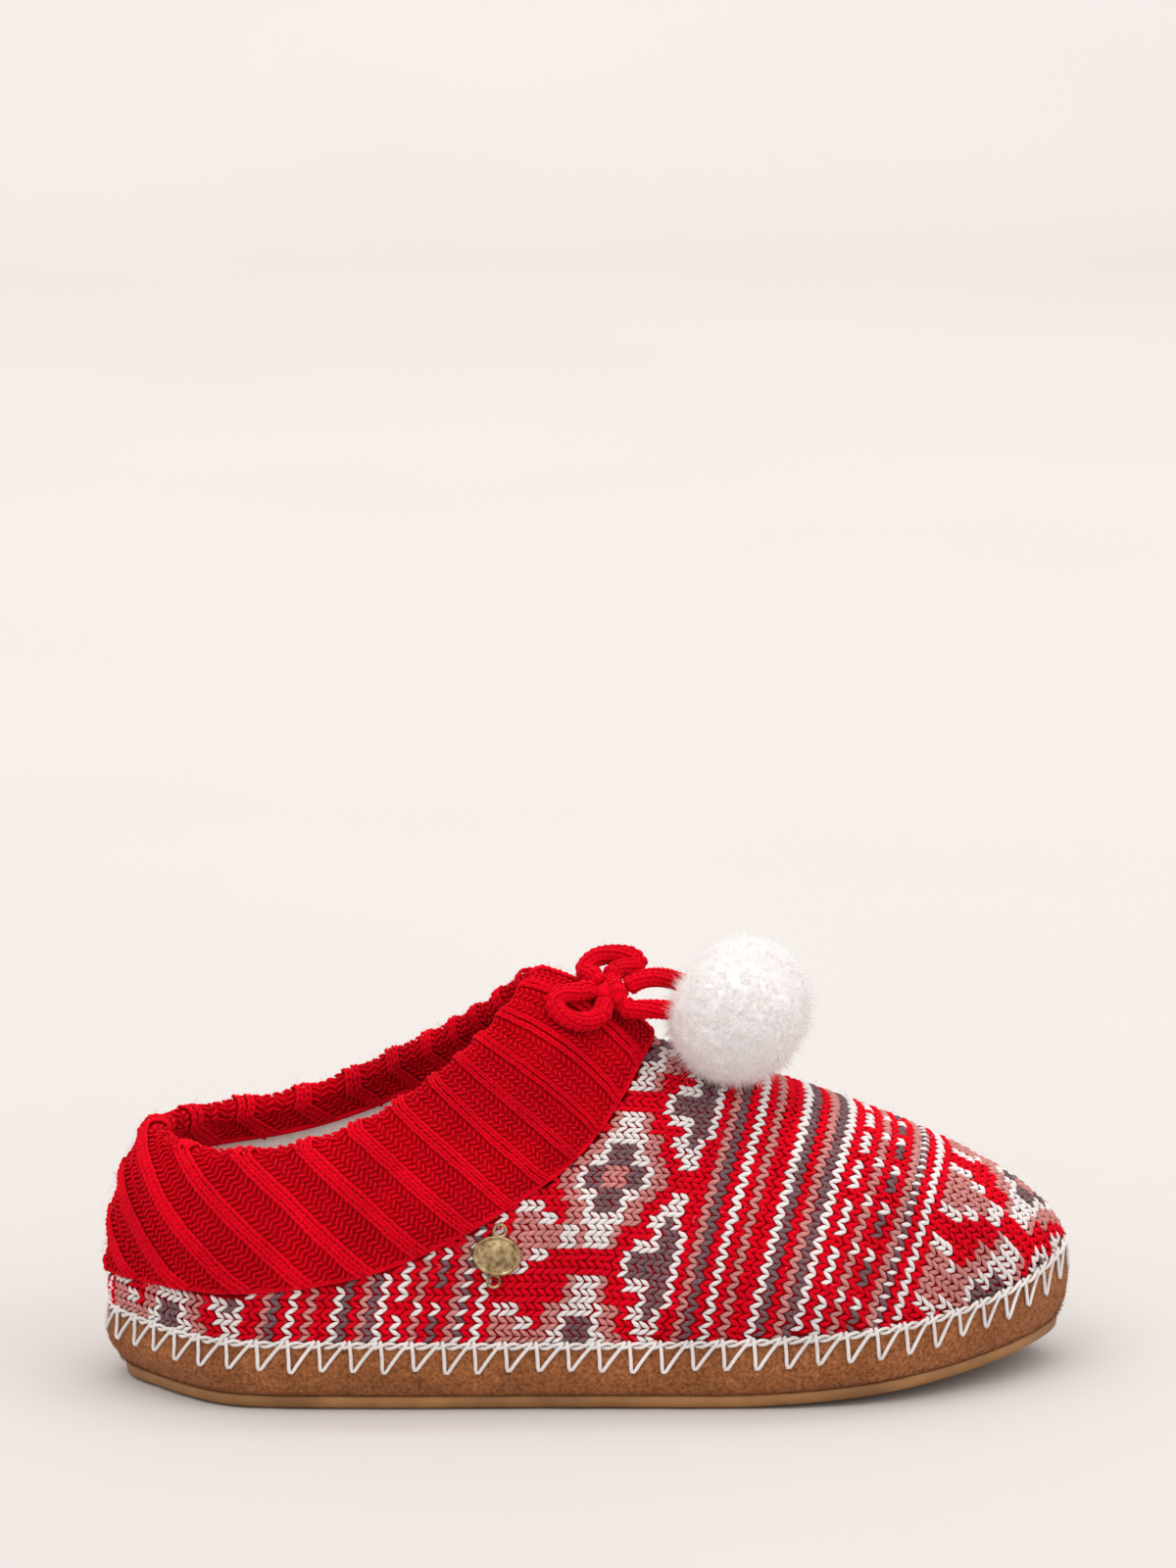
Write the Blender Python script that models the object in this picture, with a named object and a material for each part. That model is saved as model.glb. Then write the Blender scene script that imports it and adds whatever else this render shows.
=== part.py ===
"""A knitted slipper for the right foot.

A rubber outsole carries a suede-wrapped platform, the foxing. A jacquard knit shell stands on its edge, a folded
rib-knit cuff closes the shell around the foot opening, and a knitted cord bow with two pompoms sits on the
cuff's front. Metres, +X to the toe, +Z up, the outer side of the foot at -Y, the floor at z = 0 and the origin
under the middle of the sole.
"""

import math
from collections import namedtuple

import bmesh
import bpy
import numpy as np
from mathutils import Matrix, Vector

# Driving sizes
SEAM_LENGTH = 0.256  # sole seam, from the back of the heel to the tip of the toe
BALL_WIDTH = 0.093  # sole seam across the ball of the foot
SEAM_HEIGHT = 0.0185  # sole seam above the floor, at the waist of the sole
UPPER_HEIGHT = 0.0915  # top of the cuff above the sole seam
TOE_SPRING = 0.0085  # how far the sole lifts at the tip of the toe
GAP = 0.0003  # between pieces that touch

# Sole
RUBBER = 0.0039  # outsole thickness
SOLE_TUCK = 0.0028  # the outsole's lower edge, inside the seam line
FOXING_TUCK = 0.0010  # the suede's lower edge, inside the seam line
HEEL_TUCK = 0.0022  # how much further in both lie at the back of the heel
FOXING_BULGE = 0.0018  # the suede's widest line, outside the seam line
FOXING_LIP = 0.0009  # the suede's top edge, outside the seam line
PLATFORM = 0.0080  # foxing between the outsole and the insole
INSOLE = 0.0050
LEDGE_MARGIN = 0.0014  # ledge left bare inside the shell's wall
SPRING_START = 0.62  # where the toe spring begins, as a share of the seam length
SPRING_POWER = 1.6

# Upper
WALL = 0.0030  # jacquard knit and fleece together
CUFF_WALL = 0.0056  # folded rib knit at the rim
CUFF_PROUD = 0.0013  # the cuff's lower edge, outside the shell
HEM_STEP = 0.0011  # the inside hem, proud of the fleece
HEM_SHARE = 0.58  # where the inside hem ends, as a share of the cuff's height
RIB_RELIEF = 0.0007
GRID_LEAN = 1.3  # how far the cuff's grid leans with the ribs, in sections

# Bow, pompoms and charm
CORD = 0.0044
KNOT_SIZE = (0.0114, 0.0104, 0.0072)
POMPOM_RADIUS = 0.0178
LOCK = 0.0016  # how far a lock of yarn stands out of the pompom
LOCKS = 90
CHARM_WIDTH = 0.0130
CHARM_HEIGHT = 0.0108
CHARM_THICKNESS = 0.0018
CHARM_TAPER = 0.84  # the plate's front face against its back
RING_RADIUS = 0.0016
RING_WIRE = 0.00045
CHARM_STAND = 0.0006  # its back clears the curve of the shell
CHARM_TILT = 0.12  # its upper ring stands a little nearer to the toe
CHARM_SECTION = 5.16
CHARM_SHARE = 0.79
KNOT_SECTION = 10.3
KNOT_SHARE = 0.51
LOOP_POINTS = 15
END_POINTS = 9

# The last. Each table is a closed loop around the foot, one row for each section from the back of the heel to
# the tip of the toe. along is a share of SEAM_LENGTH, lateral and medial are shares of BALL_WIDTH. height is a
# share of SEAM_HEIGHT in SOLE_SEAM, and elsewhere a share of UPPER_HEIGHT above the level seam.
Row = namedtuple("Row", "along lateral medial height")

SOLE_SEAM = [
    Row(0.000, 0.000, 0.000, 1.08),
    Row(0.030, -0.161, 0.161, 1.06),
    Row(0.098, -0.355, 0.349, 1.03),
    Row(0.191, -0.419, 0.398, 1.02),
    Row(0.308, -0.441, 0.382, 1.01),
    Row(0.444, -0.455, 0.398, 1.00),
    Row(0.581, -0.478, 0.462, 1.02),
    Row(0.705, -0.490, 0.509, 1.08),
    Row(0.814, -0.441, 0.484, 1.18),
    Row(0.907, -0.300, 0.387, 1.36),
    Row(0.970, -0.135, 0.237, 1.60),
    Row(1.000, 0.054, 0.054, 1.82),
]

SIDE = [
    Row(-0.003, 0.000, 0.000, 0.047),
    Row(0.027, -0.159, 0.159, 0.047),
    Row(0.096, -0.358, 0.353, 0.049),
    Row(0.188, -0.419, 0.398, 0.052),
    Row(0.300, -0.441, 0.387, 0.071),
    Row(0.425, -0.458, 0.403, 0.104),
    Row(0.553, -0.482, 0.457, 0.142),
    Row(0.674, -0.487, 0.498, 0.235),
    Row(0.775, -0.409, 0.457, 0.363),
    Row(0.853, -0.285, 0.333, 0.372),
    Row(0.896, -0.151, 0.194, 0.386),
    Row(0.915, 0.032, 0.032, 0.396),
]

SHOULDER = [
    Row(-0.004, 0.000, 0.000, 0.079),
    Row(0.025, -0.153, 0.153, 0.082),
    Row(0.094, -0.353, 0.347, 0.093),
    Row(0.182, -0.412, 0.394, 0.102),
    Row(0.287, -0.432, 0.387, 0.140),
    Row(0.394, -0.441, 0.401, 0.208),
    Row(0.495, -0.443, 0.430, 0.279),
    Row(0.588, -0.430, 0.435, 0.399),
    Row(0.666, -0.366, 0.376, 0.504),
    Row(0.713, -0.253, 0.263, 0.570),
    Row(0.728, -0.129, 0.134, 0.610),
    Row(0.744, 0.011, 0.011, 0.612),
]

CUFF_SEAM = [
    Row(-0.002, 0.000, 0.000, 0.109),
    Row(0.026, -0.140, 0.140, 0.118),
    Row(0.094, -0.339, 0.333, 0.134),
    Row(0.176, -0.398, 0.382, 0.151),
    Row(0.269, -0.415, 0.380, 0.204),
    Row(0.355, -0.409, 0.382, 0.303),
    Row(0.421, -0.383, 0.371, 0.404),
    Row(0.472, -0.331, 0.328, 0.492),
    Row(0.507, -0.269, 0.269, 0.585),
    Row(0.534, -0.188, 0.188, 0.678),
    Row(0.555, -0.091, 0.091, 0.758),
    Row(0.565, 0.000, 0.000, 0.786),
]

# The middle of the cuff's wall, half way up, and in the fold at its rim
CUFF_BELLY = [
    Row(0.013, 0.000, 0.000, 0.344),
    Row(0.038, -0.167, 0.167, 0.344),
    Row(0.098, -0.328, 0.328, 0.348),
    Row(0.176, -0.376, 0.366, 0.368),
    Row(0.260, -0.387, 0.371, 0.423),
    Row(0.332, -0.371, 0.360, 0.508),
    Row(0.384, -0.328, 0.323, 0.596),
    Row(0.425, -0.280, 0.280, 0.668),
    Row(0.456, -0.226, 0.226, 0.749),
    Row(0.483, -0.156, 0.156, 0.831),
    Row(0.505, -0.075, 0.075, 0.880),
    Row(0.512, 0.000, 0.000, 0.891),
]

CUFF_RIM = [
    Row(0.047, 0.000, 0.000, 0.534),
    Row(0.067, -0.161, 0.161, 0.516),
    Row(0.118, -0.280, 0.280, 0.514),
    Row(0.188, -0.312, 0.312, 0.536),
    Row(0.258, -0.315, 0.315, 0.600),
    Row(0.316, -0.285, 0.285, 0.685),
    Row(0.355, -0.231, 0.231, 0.750),
    Row(0.382, -0.183, 0.183, 0.805),
    Row(0.405, -0.138, 0.138, 0.855),
    Row(0.427, -0.091, 0.091, 0.920),
    Row(0.442, -0.043, 0.043, 0.958),
    Row(0.450, 0.000, 0.000, 0.969),
]

# How many ribs lie between the bow and each section, counted at the cuff's seam and at its rim. The counts
# differ because the ribs lean toward the toe as they go down.
RIBS_AT_SEAM = [-2.2, -1.0, 0.3, 1.6, 3.1, 4.7, 6.3, 7.75, 9.2, 10.4, 11.3, 12.0]
RIBS_AT_RIM = [1.0, 1.7, 2.7, 3.8, 5.1, 6.5, 7.7, 8.8, 9.7, 10.5, 11.3, 12.0]

SECTIONS = len(SOLE_SEAM) - 1  # from heel to toe on one side
TURN = 2 * SECTIONS  # around the whole foot

# The near loop lies on the cuff. Each row is a place under it, as a section and a share of the cuff's height.
NEAR_LOOP = [(9.55, 0.47), (9.25, 0.51), (9.06, 0.59), (9.03, 0.69), (9.18, 0.77), (9.45, 0.76), (9.72, 0.69)]

# The other cords stand free. Their points are steps from the knot's centre.
FAR_LOOP = [
    (-0.0066, 0.0062, 0.0046),
    (-0.0038, 0.0088, 0.0074),
    (0.0014, 0.0102, 0.0082),
    (0.0062, 0.0102, 0.0076),
    (0.0080, 0.0090, 0.0056),
    (0.0052, 0.0078, 0.0052),
]
NEAR_END = [(0.0078, -0.0050, -0.0034), (0.0130, -0.0062, -0.0032)]
FAR_END = [(0.0104, 0.0024, 0.0034), (0.0152, 0.0072, 0.0022), (0.0196, 0.0122, -0.0004)]

# Which way each cord leaves the knot
NEAR_LOOP_OUT = (-0.35, -0.85, -0.35)
NEAR_LOOP_BACK = (-0.90, -0.35, 0.15)
FAR_LOOP_OUT = (-0.72, 0.52, 0.50)
FAR_LOOP_BACK = (0.20, 0.80, 0.62)
NEAR_END_OUT = (0.70, -0.55, -0.40)
FAR_END_OUT = (0.95, 0.15, 0.26)
NEAR_POMPOM_AT = (0.0325, -0.0087)  # plan steps from the knot's centre
FAR_POMPOM_AT = (0.0384, 0.0300)


def closed_curve(points, places):
    """Points on a smooth closed curve through the given ones. A place counts them from the first."""
    p = np.asarray(points, float)
    n = len(p)
    weights = 4 * np.eye(n) + np.roll(np.eye(n), 1, 0) + np.roll(np.eye(n), -1, 0)
    slopes = np.linalg.solve(weights, 3 * (np.roll(p, -1, 0) - np.roll(p, 1, 0)))
    whole = np.floor(places)
    f = (places - whole)[:, None]
    i = whole.astype(int) % n
    j = (i + 1) % n
    start = (2 * f**3 - 3 * f**2 + 1) * p[i] + (f**3 - 2 * f**2 + f) * slopes[i]
    return start + (3 * f**2 - 2 * f**3) * p[j] + (f**3 - f**2) * slopes[j]


def both_sides(lateral, medial):
    """One closed list from a list for each side; both hold the heel and the toe."""
    return list(lateral) + list(medial[-2:0:-1])


def loop(rows, at_sole=False):
    """A table of the last as a closed loop of points."""

    def point(row, across):
        height = row.height * SEAM_HEIGHT if at_sole else SEAM_HEIGHT + row.height * UPPER_HEIGHT
        return (row.along * SEAM_LENGTH, across * BALL_WIDTH, height)

    return both_sides([point(r, r.lateral) for r in rows], [point(r, r.medial) for r in rows])


def unit(vectors):
    return vectors / np.linalg.norm(vectors, axis=-1, keepdims=True)


def between(loops, t):
    """The curve that passes through the loops, at t from 0 on the first to 1 on the last."""
    places = np.linspace(0, 1, len(loops))
    total = 0
    for i, points in enumerate(loops):
        weight = np.prod([(t - q) / (places[i] - q) for j, q in enumerate(places) if j != i], axis=0)
        total = total + points * np.asarray(weight).reshape(-1, 1)
    return total


def outward_of(surface, u, t):
    """Unit normals of surface(u, t), by small steps."""
    step = 1e-3
    t = np.broadcast_to(np.asarray(t, float), np.shape(u))
    low, high = np.clip(t - step, 0, 1), np.clip(t + step, 0, 1)
    around = surface(u + step, t) - surface(u - step, t)
    return unit(np.cross(around, surface(u, high) - surface(u, low)))


def shell(u, t):
    """The jacquard shell's outer surface: t from 0 at the sole seam to 1 at the cuff seam."""
    loops = [loop(SOLE_SEAM, at_sole=True), loop(SIDE), loop(SHOULDER), loop(CUFF_SEAM)]
    return between([closed_curve(points, u) for points in loops], t)


def sole_outward(u):
    """The level direction out of the sole seam."""
    step = 1e-3
    seam = loop(SOLE_SEAM, at_sole=True)
    along = closed_curve(seam, u + step) - closed_curve(seam, u - step)
    return unit(np.stack([along[:, 1], -along[:, 0], 0 * u], axis=1))


def spring(x):
    """The height of the sole's underside, flat up to the ball of the foot."""
    share = (x / SEAM_LENGTH - SPRING_START) / (1 - SPRING_START)
    return TOE_SPRING * np.clip(share, 0, 1) ** SPRING_POWER


def sole_ring(u, out, height, heel=0.0):
    """A ring that lies out from the sole seam, and in by heel at its back, at a height worked out from x."""
    outward = sole_outward(u)
    tuck = heel * np.clip(-outward[:, :1], 0, 1) ** 2
    ring = closed_curve(loop(SOLE_SEAM, at_sole=True), u) + outward * (out - tuck)
    ring[:, 2] = height(ring[:, 0])
    return ring


def rib_count(u, t):
    """Ribs between the bow and a place on the cuff; t runs from its seam to its rim."""
    side = SECTIONS - np.abs(u % TURN - SECTIONS)
    rows = np.arange(SECTIONS + 1)
    at_seam = np.interp(side, rows, RIBS_AT_SEAM)
    at_rim = np.interp(side, rows, RIBS_AT_RIM)
    return at_seam + (at_rim - at_seam) * t


def cuff_middle(u, t):
    """The middle of the cuff's wall."""
    foot = closed_curve(loop(CUFF_SEAM), u)
    normal = outward_of(shell, u, 1.0)
    up = unit(shell(u, 1.0) - shell(u, 0.99))
    foot = foot + up * GAP + normal * (CUFF_PROUD - (WALL + CUFF_PROUD) / 2)
    return between([foot, closed_curve(loop(CUFF_BELLY), u), closed_curve(loop(CUFF_RIM), u)], t)


def cuff_outward(u, t):
    """The direction out of the cuff. At its foot it is the shell's, so the two edges stay parallel."""
    share = min(1.0, t / 0.12)
    own = outward_of(cuff_middle, u, np.full(len(u), t))
    return unit(outward_of(shell, u, 1.0) * (1 - share) + own * share)


def cuff_half(t):
    """Half the cuff's wall without its hem."""
    return (WALL + CUFF_PROUD + (CUFF_WALL - WALL - CUFF_PROUD) * t) / 2


def cuff_outside(u, t):
    """The ribbed outer surface of the cuff."""
    relief = RIB_RELIEF * np.cos(2 * math.pi * rib_count(u, t))
    return cuff_middle(u, t) + cuff_outward(u, t) * (cuff_half(t) + relief[:, None])


def material(name, colour, roughness, metallic=0.0):
    made = bpy.data.materials.new(name)
    made.use_nodes = True
    shader = made.node_tree.nodes["Principled BSDF"]
    shader.inputs["Base Color"].default_value = (*colour, 1.0)
    shader.inputs["Roughness"].default_value = roughness
    shader.inputs["Metallic"].default_value = metallic
    made.diffuse_color = (*colour, 1.0)
    return made


def add_object(name, mesh, finish):
    made = bpy.data.objects.new(name, mesh)
    parts.objects.link(made)
    made.parent = frame
    mesh.materials.append(finish)
    return made


def cap(n, first):
    """Faces across a ring of n points from its lateral to its medial side, facing up."""
    half = n // 2
    faces = [(0, 1, n - 1), (half - 1, half, half + 1)]
    faces += [(i, i + 1, n - i - 1, n - i) for i in range(1, half - 1)]
    return [tuple(first + i for i in face) for face in faces]


def lofted(name, rings, finish, closed):
    """A solid through rings that each run heel, lateral, toe, medial. Closed joins the last to the first."""
    n = len(rings[0])
    points = np.concatenate(rings)
    bands = len(rings) if closed else len(rings) - 1
    faces = []
    for band in range(bands):
        low, high = band * n, (band + 1) % len(rings) * n
        for i in range(n):
            j = (i + 1) % n
            faces.append((low + i, low + j, high + j, high + i))
    if not closed:
        faces += [face[::-1] for face in cap(n, 0)]
        faces += cap(n, (len(rings) - 1) * n)
    mesh = bpy.data.meshes.new(name)
    mesh.from_pydata(points.tolist(), [], faces)
    mesh.shade_smooth()
    mesh.set_sharp_from_angle(angle=math.radians(50))
    return add_object(name, mesh, finish)


def places_around(count):
    return np.arange(count) * TURN / count


def make_outsole(finish):
    u = places_around(88)
    profile = [(-SOLE_TUCK, 0.0), (-SOLE_TUCK * 0.45, 0.22), (-FOXING_TUCK, 0.6), (-FOXING_TUCK, 1.0)]
    rings = [
        sole_ring(u, out, lambda x, rise=rise: spring(x) + rise * RUBBER, HEEL_TUCK) for out, rise in profile
    ]
    return lofted("outsole", rings, finish, closed=False)


def make_foxing(finish):
    u = places_around(88)
    seam = closed_curve(loop(SOLE_SEAM, at_sole=True), u)
    bottom = sole_ring(u, -FOXING_TUCK, lambda x: spring(x) + RUBBER + GAP, HEEL_TUCK)
    rings = [bottom]
    profile = [(0.14, 0.55), (0.42, 1.0), (0.75, 0.85)]
    for rise, bulge in profile:
        widest = seam + sole_outward(u) * FOXING_BULGE
        ring = bottom + (widest - bottom) * bulge
        ring[:, 2] = bottom[:, 2] + (seam[:, 2] - bottom[:, 2]) * rise
        rings.append(ring)
    for out in (FOXING_LIP, -WALL - LEDGE_MARGIN):
        ring = seam + sole_outward(u) * out
        ring[:, 2] = seam[:, 2]
        rings.append(ring)
    rings.append(sole_ring(u, -WALL - LEDGE_MARGIN, lambda x: spring(x) + RUBBER + PLATFORM))
    return lofted("foxing", rings, finish, closed=False)


def make_insole(finish):
    u = places_around(66)
    edge = -WALL - LEDGE_MARGIN - GAP
    base = RUBBER + PLATFORM + GAP
    profile = [(0.0, 0.0), (0.0, 0.7), (-0.0012, 0.95), (-0.0040, 1.0)]
    rings = [
        sole_ring(u, edge + out, lambda x, rise=rise: spring(x) + base + rise * INSOLE)
        for out, rise in profile
    ]
    return lofted("insole", rings, finish, closed=False)


def make_upper(finish):
    u = places_around(88)
    outer = [0.0, 0.08, 0.18, 0.3, 0.44, 0.58, 0.72, 0.86, 1.0]
    inner = [1.0, 0.75, 0.5, 0.25, 0.0]
    rings = [shell(u, t) for t in outer]
    rings += [shell(u, t) - outward_of(shell, u, t) * WALL for t in inner]
    rings[0][:, 2] += GAP
    rings[-1][:, 2] = rings[0][:, 2]
    return lofted("upper", rings, finish, closed=True)


def cuff_places(columns, t):
    """The grid's places around the cuff, which lean with the ribs and stand upright at heel and toe."""
    side = SECTIONS - np.abs(columns - SECTIONS)
    lean = GRID_LEAN * np.tanh(side / 1.2) * np.tanh((SECTIONS - side) / 3.0)
    return columns + np.sign(SECTIONS - columns) * lean * (1 - t)


def make_cuff(finish):
    columns = places_around(138)
    outer = [0.0, 0.1, 0.22, 0.35, 0.49, 0.64, 0.8, 0.93]
    rings = [cuff_outside(cuff_places(columns, t), t) for t in outer]
    rim, out = cuff_middle(columns, 1.0), cuff_outward(columns, 1.0)
    up = unit(rim - cuff_middle(columns, 0.98))
    relief = RIB_RELIEF * np.cos(2 * math.pi * rib_count(columns, 1.0))[:, None]
    for angle in (0, 60, 120, 180):
        turn = math.radians(angle)
        reach = cuff_half(1.0) + relief * math.cos(turn / 2) ** 2
        rings.append(rim + (out * math.cos(turn) + up * math.sin(turn)) * reach)
    inner = [0.82, HEM_SHARE, HEM_SHARE - 0.03, 0.3, 0.0]
    for t in inner:
        hem = HEM_STEP if t >= HEM_SHARE else 0.0
        u = cuff_places(columns, t)
        rings.append(cuff_middle(u, t) - cuff_outward(u, t) * (cuff_half(t) + hem - HEM_STEP * t))
    return lofted("cuff", rings, finish, closed=True)


def curve_through(points, count):
    """A smooth open run through a cord's points, at even steps."""
    p = np.asarray(points, float)
    n = len(p)
    slopes = np.gradient(p, axis=0)
    fine = np.linspace(0, n - 1, 40 * n)
    i = np.minimum(fine.astype(int), n - 2)
    f = (fine - i)[:, None]
    run = (2 * f**3 - 3 * f**2 + 1) * p[i] + (f**3 - 2 * f**2 + f) * slopes[i]
    run += (3 * f**2 - 2 * f**3) * p[i + 1] + (f**3 - f**2) * slopes[i + 1]
    length = np.concatenate([[0], np.cumsum(np.linalg.norm(np.diff(run, axis=0), axis=1))])
    even = np.linspace(0, length[-1], count)
    return np.stack([np.interp(even, length, run[:, k]) for k in range(3)], axis=1)


def make_cord(name, points, count, finish):
    data = bpy.data.curves.new(name, "CURVE")
    data.dimensions = "3D"
    data.bevel_depth = CORD / 2
    data.bevel_resolution = 2
    data.use_fill_caps = True
    spline = data.splines.new("POLY")
    run = curve_through(points, count)
    spline.points.add(count - 1)
    for point, place in zip(spline.points, run):
        point.co = (*place, 1.0)
    return add_object(name, data, finish)


def make_knot(name, centre, finish):
    mesh = bpy.data.meshes.new(name)
    bm = bmesh.new()
    bmesh.ops.create_uvsphere(bm, u_segments=14, v_segments=8, radius=0.5)
    bmesh.ops.scale(bm, vec=Vector(KNOT_SIZE), verts=bm.verts)
    bm.to_mesh(mesh)
    bm.free()
    mesh.shade_smooth()
    made = add_object(name, mesh, finish)
    made.location = centre
    return made


def knot_exit(direction):
    """Two steps from the knot's centre, square out of its surface, where a cord leaves it."""
    half = np.array(KNOT_SIZE) / 2
    d = np.array(direction)
    skin = d / np.sqrt(np.sum((d / half) ** 2))
    out = unit(skin / half**2)
    return skin + out * GAP, skin + out * (GAP + CORD * 0.45)


def make_pompom(name, centre, finish):
    """A yarn ball. Its locks are points spread evenly over a sphere, with a hollow between each three."""
    bm = bmesh.new()
    golden = math.pi * (3 - math.sqrt(5))
    for i in range(LOCKS):
        height = 1 - (2 * i + 1) / LOCKS
        level = math.sqrt(1 - height * height)
        tip = Vector((level * math.cos(golden * i), level * math.sin(golden * i), height))
        bm.verts.new(tip * POMPOM_RADIUS)
    bmesh.ops.convex_hull(bm, input=bm.verts)
    hollows = bmesh.ops.poke(bm, faces=bm.faces)["verts"]
    for hollow in hollows:
        hollow.co = hollow.co.normalized() * (POMPOM_RADIUS - LOCK)
    mesh = bpy.data.meshes.new(name)
    bm.to_mesh(mesh)
    bm.free()
    made = add_object(name, mesh, finish)
    made.location = centre
    return made


def resting_height(x, y, radius, surface):
    """The height at which a ball over (x, y) comes to rest on the surface's points."""
    away = np.hypot(surface[:, 0] - x, surface[:, 1] - y)
    under = surface[away < radius]
    return float(np.max(under[:, 2] + np.sqrt(radius**2 - away[away < radius] ** 2)))


def make_charm(seat, across, up, out, finish, ring_guides):
    """A domed oval plate with a ring at either end, flat against the shell."""
    turn = Matrix((across, up, out)).transposed().to_4x4()
    turn.translation = seat + out * (CHARM_THICKNESS / 2 + CHARM_STAND)
    mesh = bpy.data.meshes.new("charm")
    bm = bmesh.new()
    bmesh.ops.create_cone(bm, cap_ends=True, segments=24, radius1=0.5, radius2=0.5 * CHARM_TAPER, depth=1.0)
    bmesh.ops.scale(bm, vec=Vector((CHARM_WIDTH, CHARM_HEIGHT, CHARM_THICKNESS)), verts=bm.verts)
    bm.to_mesh(mesh)
    bm.free()
    plate = add_object("charm", mesh, finish)
    plate.matrix_world = turn
    for number, side in enumerate((1, -1)):
        reach = side * (CHARM_HEIGHT * (1 + CHARM_TAPER) / 4 + RING_RADIUS)
        bpy.ops.mesh.primitive_torus_add(
            major_segments=12, minor_segments=5, major_radius=RING_RADIUS, minor_radius=RING_WIRE
        )
        ring = bpy.context.object
        ring.name = f"charm_ring_{number}"
        for holder in list(ring.users_collection):
            holder.objects.unlink(ring)
        ring_guides.objects.link(ring)
        ring.parent = frame
        ring.matrix_world = turn @ Matrix.Translation((0, reach, 0))
        ring.hide_render = True
        ring.display_type = "WIRE"
        join = plate.modifiers.new(f"ring_{number}", "BOOLEAN")
        join.operation = "UNION"
        join.object = ring


def clear_scene():
    for old in list(bpy.data.objects):
        bpy.data.objects.remove(old)


def collection(name):
    made = bpy.data.collections.new(name)
    bpy.context.scene.collection.children.link(made)
    return made


def sole_middle():
    """The middle of the sole's widest outline."""
    u = places_around(88)
    outline = closed_curve(loop(SOLE_SEAM, at_sole=True), u) + sole_outward(u) * FOXING_BULGE
    return (outline.min(0) + outline.max(0)) / 2


def main():
    rubber = material("gum_rubber", (0.30, 0.13, 0.045), 0.55)
    suede = material("tan_suede", (0.27, 0.115, 0.055), 0.95)
    fleece = material("cream_fleece", (0.80, 0.76, 0.70), 0.95)
    jacquard = material("jacquard_knit", (0.55, 0.08, 0.09), 0.95)
    red_knit = material("red_rib_knit", (0.52, 0.004, 0.016), 0.95)
    white_yarn = material("white_yarn", (0.86, 0.84, 0.82), 0.95)
    brass = material("antique_brass", (0.42, 0.30, 0.13), 0.38, metallic=1.0)

    make_outsole(rubber)
    make_foxing(suede)
    make_insole(fleece)
    make_upper(jacquard)
    make_cuff(red_knit)

    # The knot sits on the front of the cuff, and the bow and the pompoms take their places from it
    u, t = np.array([KNOT_SECTION]), KNOT_SHARE
    knot = cuff_outside(u, t)[0] + cuff_outward(u, t)[0] * (KNOT_SIZE[2] / 2 + RIB_RELIEF + GAP)
    make_knot("bow_knot", Vector(knot), red_knit)
    sections = np.array([row[0] for row in NEAR_LOOP])
    shares = [row[1] for row in NEAR_LOOP]
    lift = CORD / 2 + 2 * GAP
    lying = [
        cuff_outside(sections[i : i + 1], share)[0] + cuff_outward(sections[i : i + 1], share)[0] * lift
        for i, share in enumerate(shares)
    ]
    out, back = knot_exit(NEAR_LOOP_OUT), knot_exit(NEAR_LOOP_BACK)
    route = [knot + out[0], knot + out[1], *lying, knot + back[1], knot + back[0]]
    make_cord("bow_loop_near", route, LOOP_POINTS, red_knit)
    out, back = knot_exit(FAR_LOOP_OUT), knot_exit(FAR_LOOP_BACK)
    route = knot + np.array([*out, *FAR_LOOP, back[1], back[0]])
    make_cord("bow_loop_far", route, LOOP_POINTS, red_knit)

    around = places_around(220)
    under = np.concatenate([shell(around, t) for t in np.linspace(0.4, 1, 40)])
    under = np.concatenate([under] + [cuff_outside(around, t) for t in np.linspace(0, 0.6, 12)])
    ends = [
        ("near", NEAR_POMPOM_AT, NEAR_END_OUT, NEAR_END),
        ("far", FAR_POMPOM_AT, FAR_END_OUT, FAR_END),
    ]
    for side, at, out, steps in ends:
        x, y = knot[0] + at[0], knot[1] + at[1]
        centre = np.array([x, y, resting_height(x, y, POMPOM_RADIUS + GAP, under)])
        make_pompom(f"pompom_{side}", Vector(centre), white_yarn)
        points = knot + np.array([*knot_exit(out), *steps])
        last = points[-1] + (centre - points[-1]) * (
            1 - (POMPOM_RADIUS + GAP) / np.linalg.norm(centre - points[-1])
        )
        make_cord(f"bow_end_{side}", [*points, last], END_POINTS, red_knit)

    place = np.array([CHARM_SECTION])
    seat = Vector(shell(place, CHARM_SHARE)[0])
    out = Vector(outward_of(shell, place, CHARM_SHARE)[0])
    up = Vector((CHARM_TILT, 0, 1))
    up = (up - out * up.dot(out)).normalized()
    make_charm(seat, up.cross(out), up, out, brass, guides)

    frame.location = -Vector((*sole_middle()[:2], 0))


clear_scene()
parts = collection("knitted_slipper")
guides = collection("guides")
frame = bpy.data.objects.new("slipper_frame", None)
parts.objects.link(frame)
main()
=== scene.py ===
"""The looks of the knitted slipper: its yarns, stitches, pile, suede and rubber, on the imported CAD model.

The surfaces are the source's own functions of u, which counts sections around the foot from the back of the heel,
and t, which runs up a piece. The source's frame has its origin at the back of the heel, and every mesh is moved
by OFFSET into the CAD frame when it is made. Metres throughout. side is 1 for the lateral side of the foot and -1
for the medial one. A wale is a column of stitches, and the yarn attribute is what the yarn finishes read.
"""

import math
from collections import namedtuple

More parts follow.
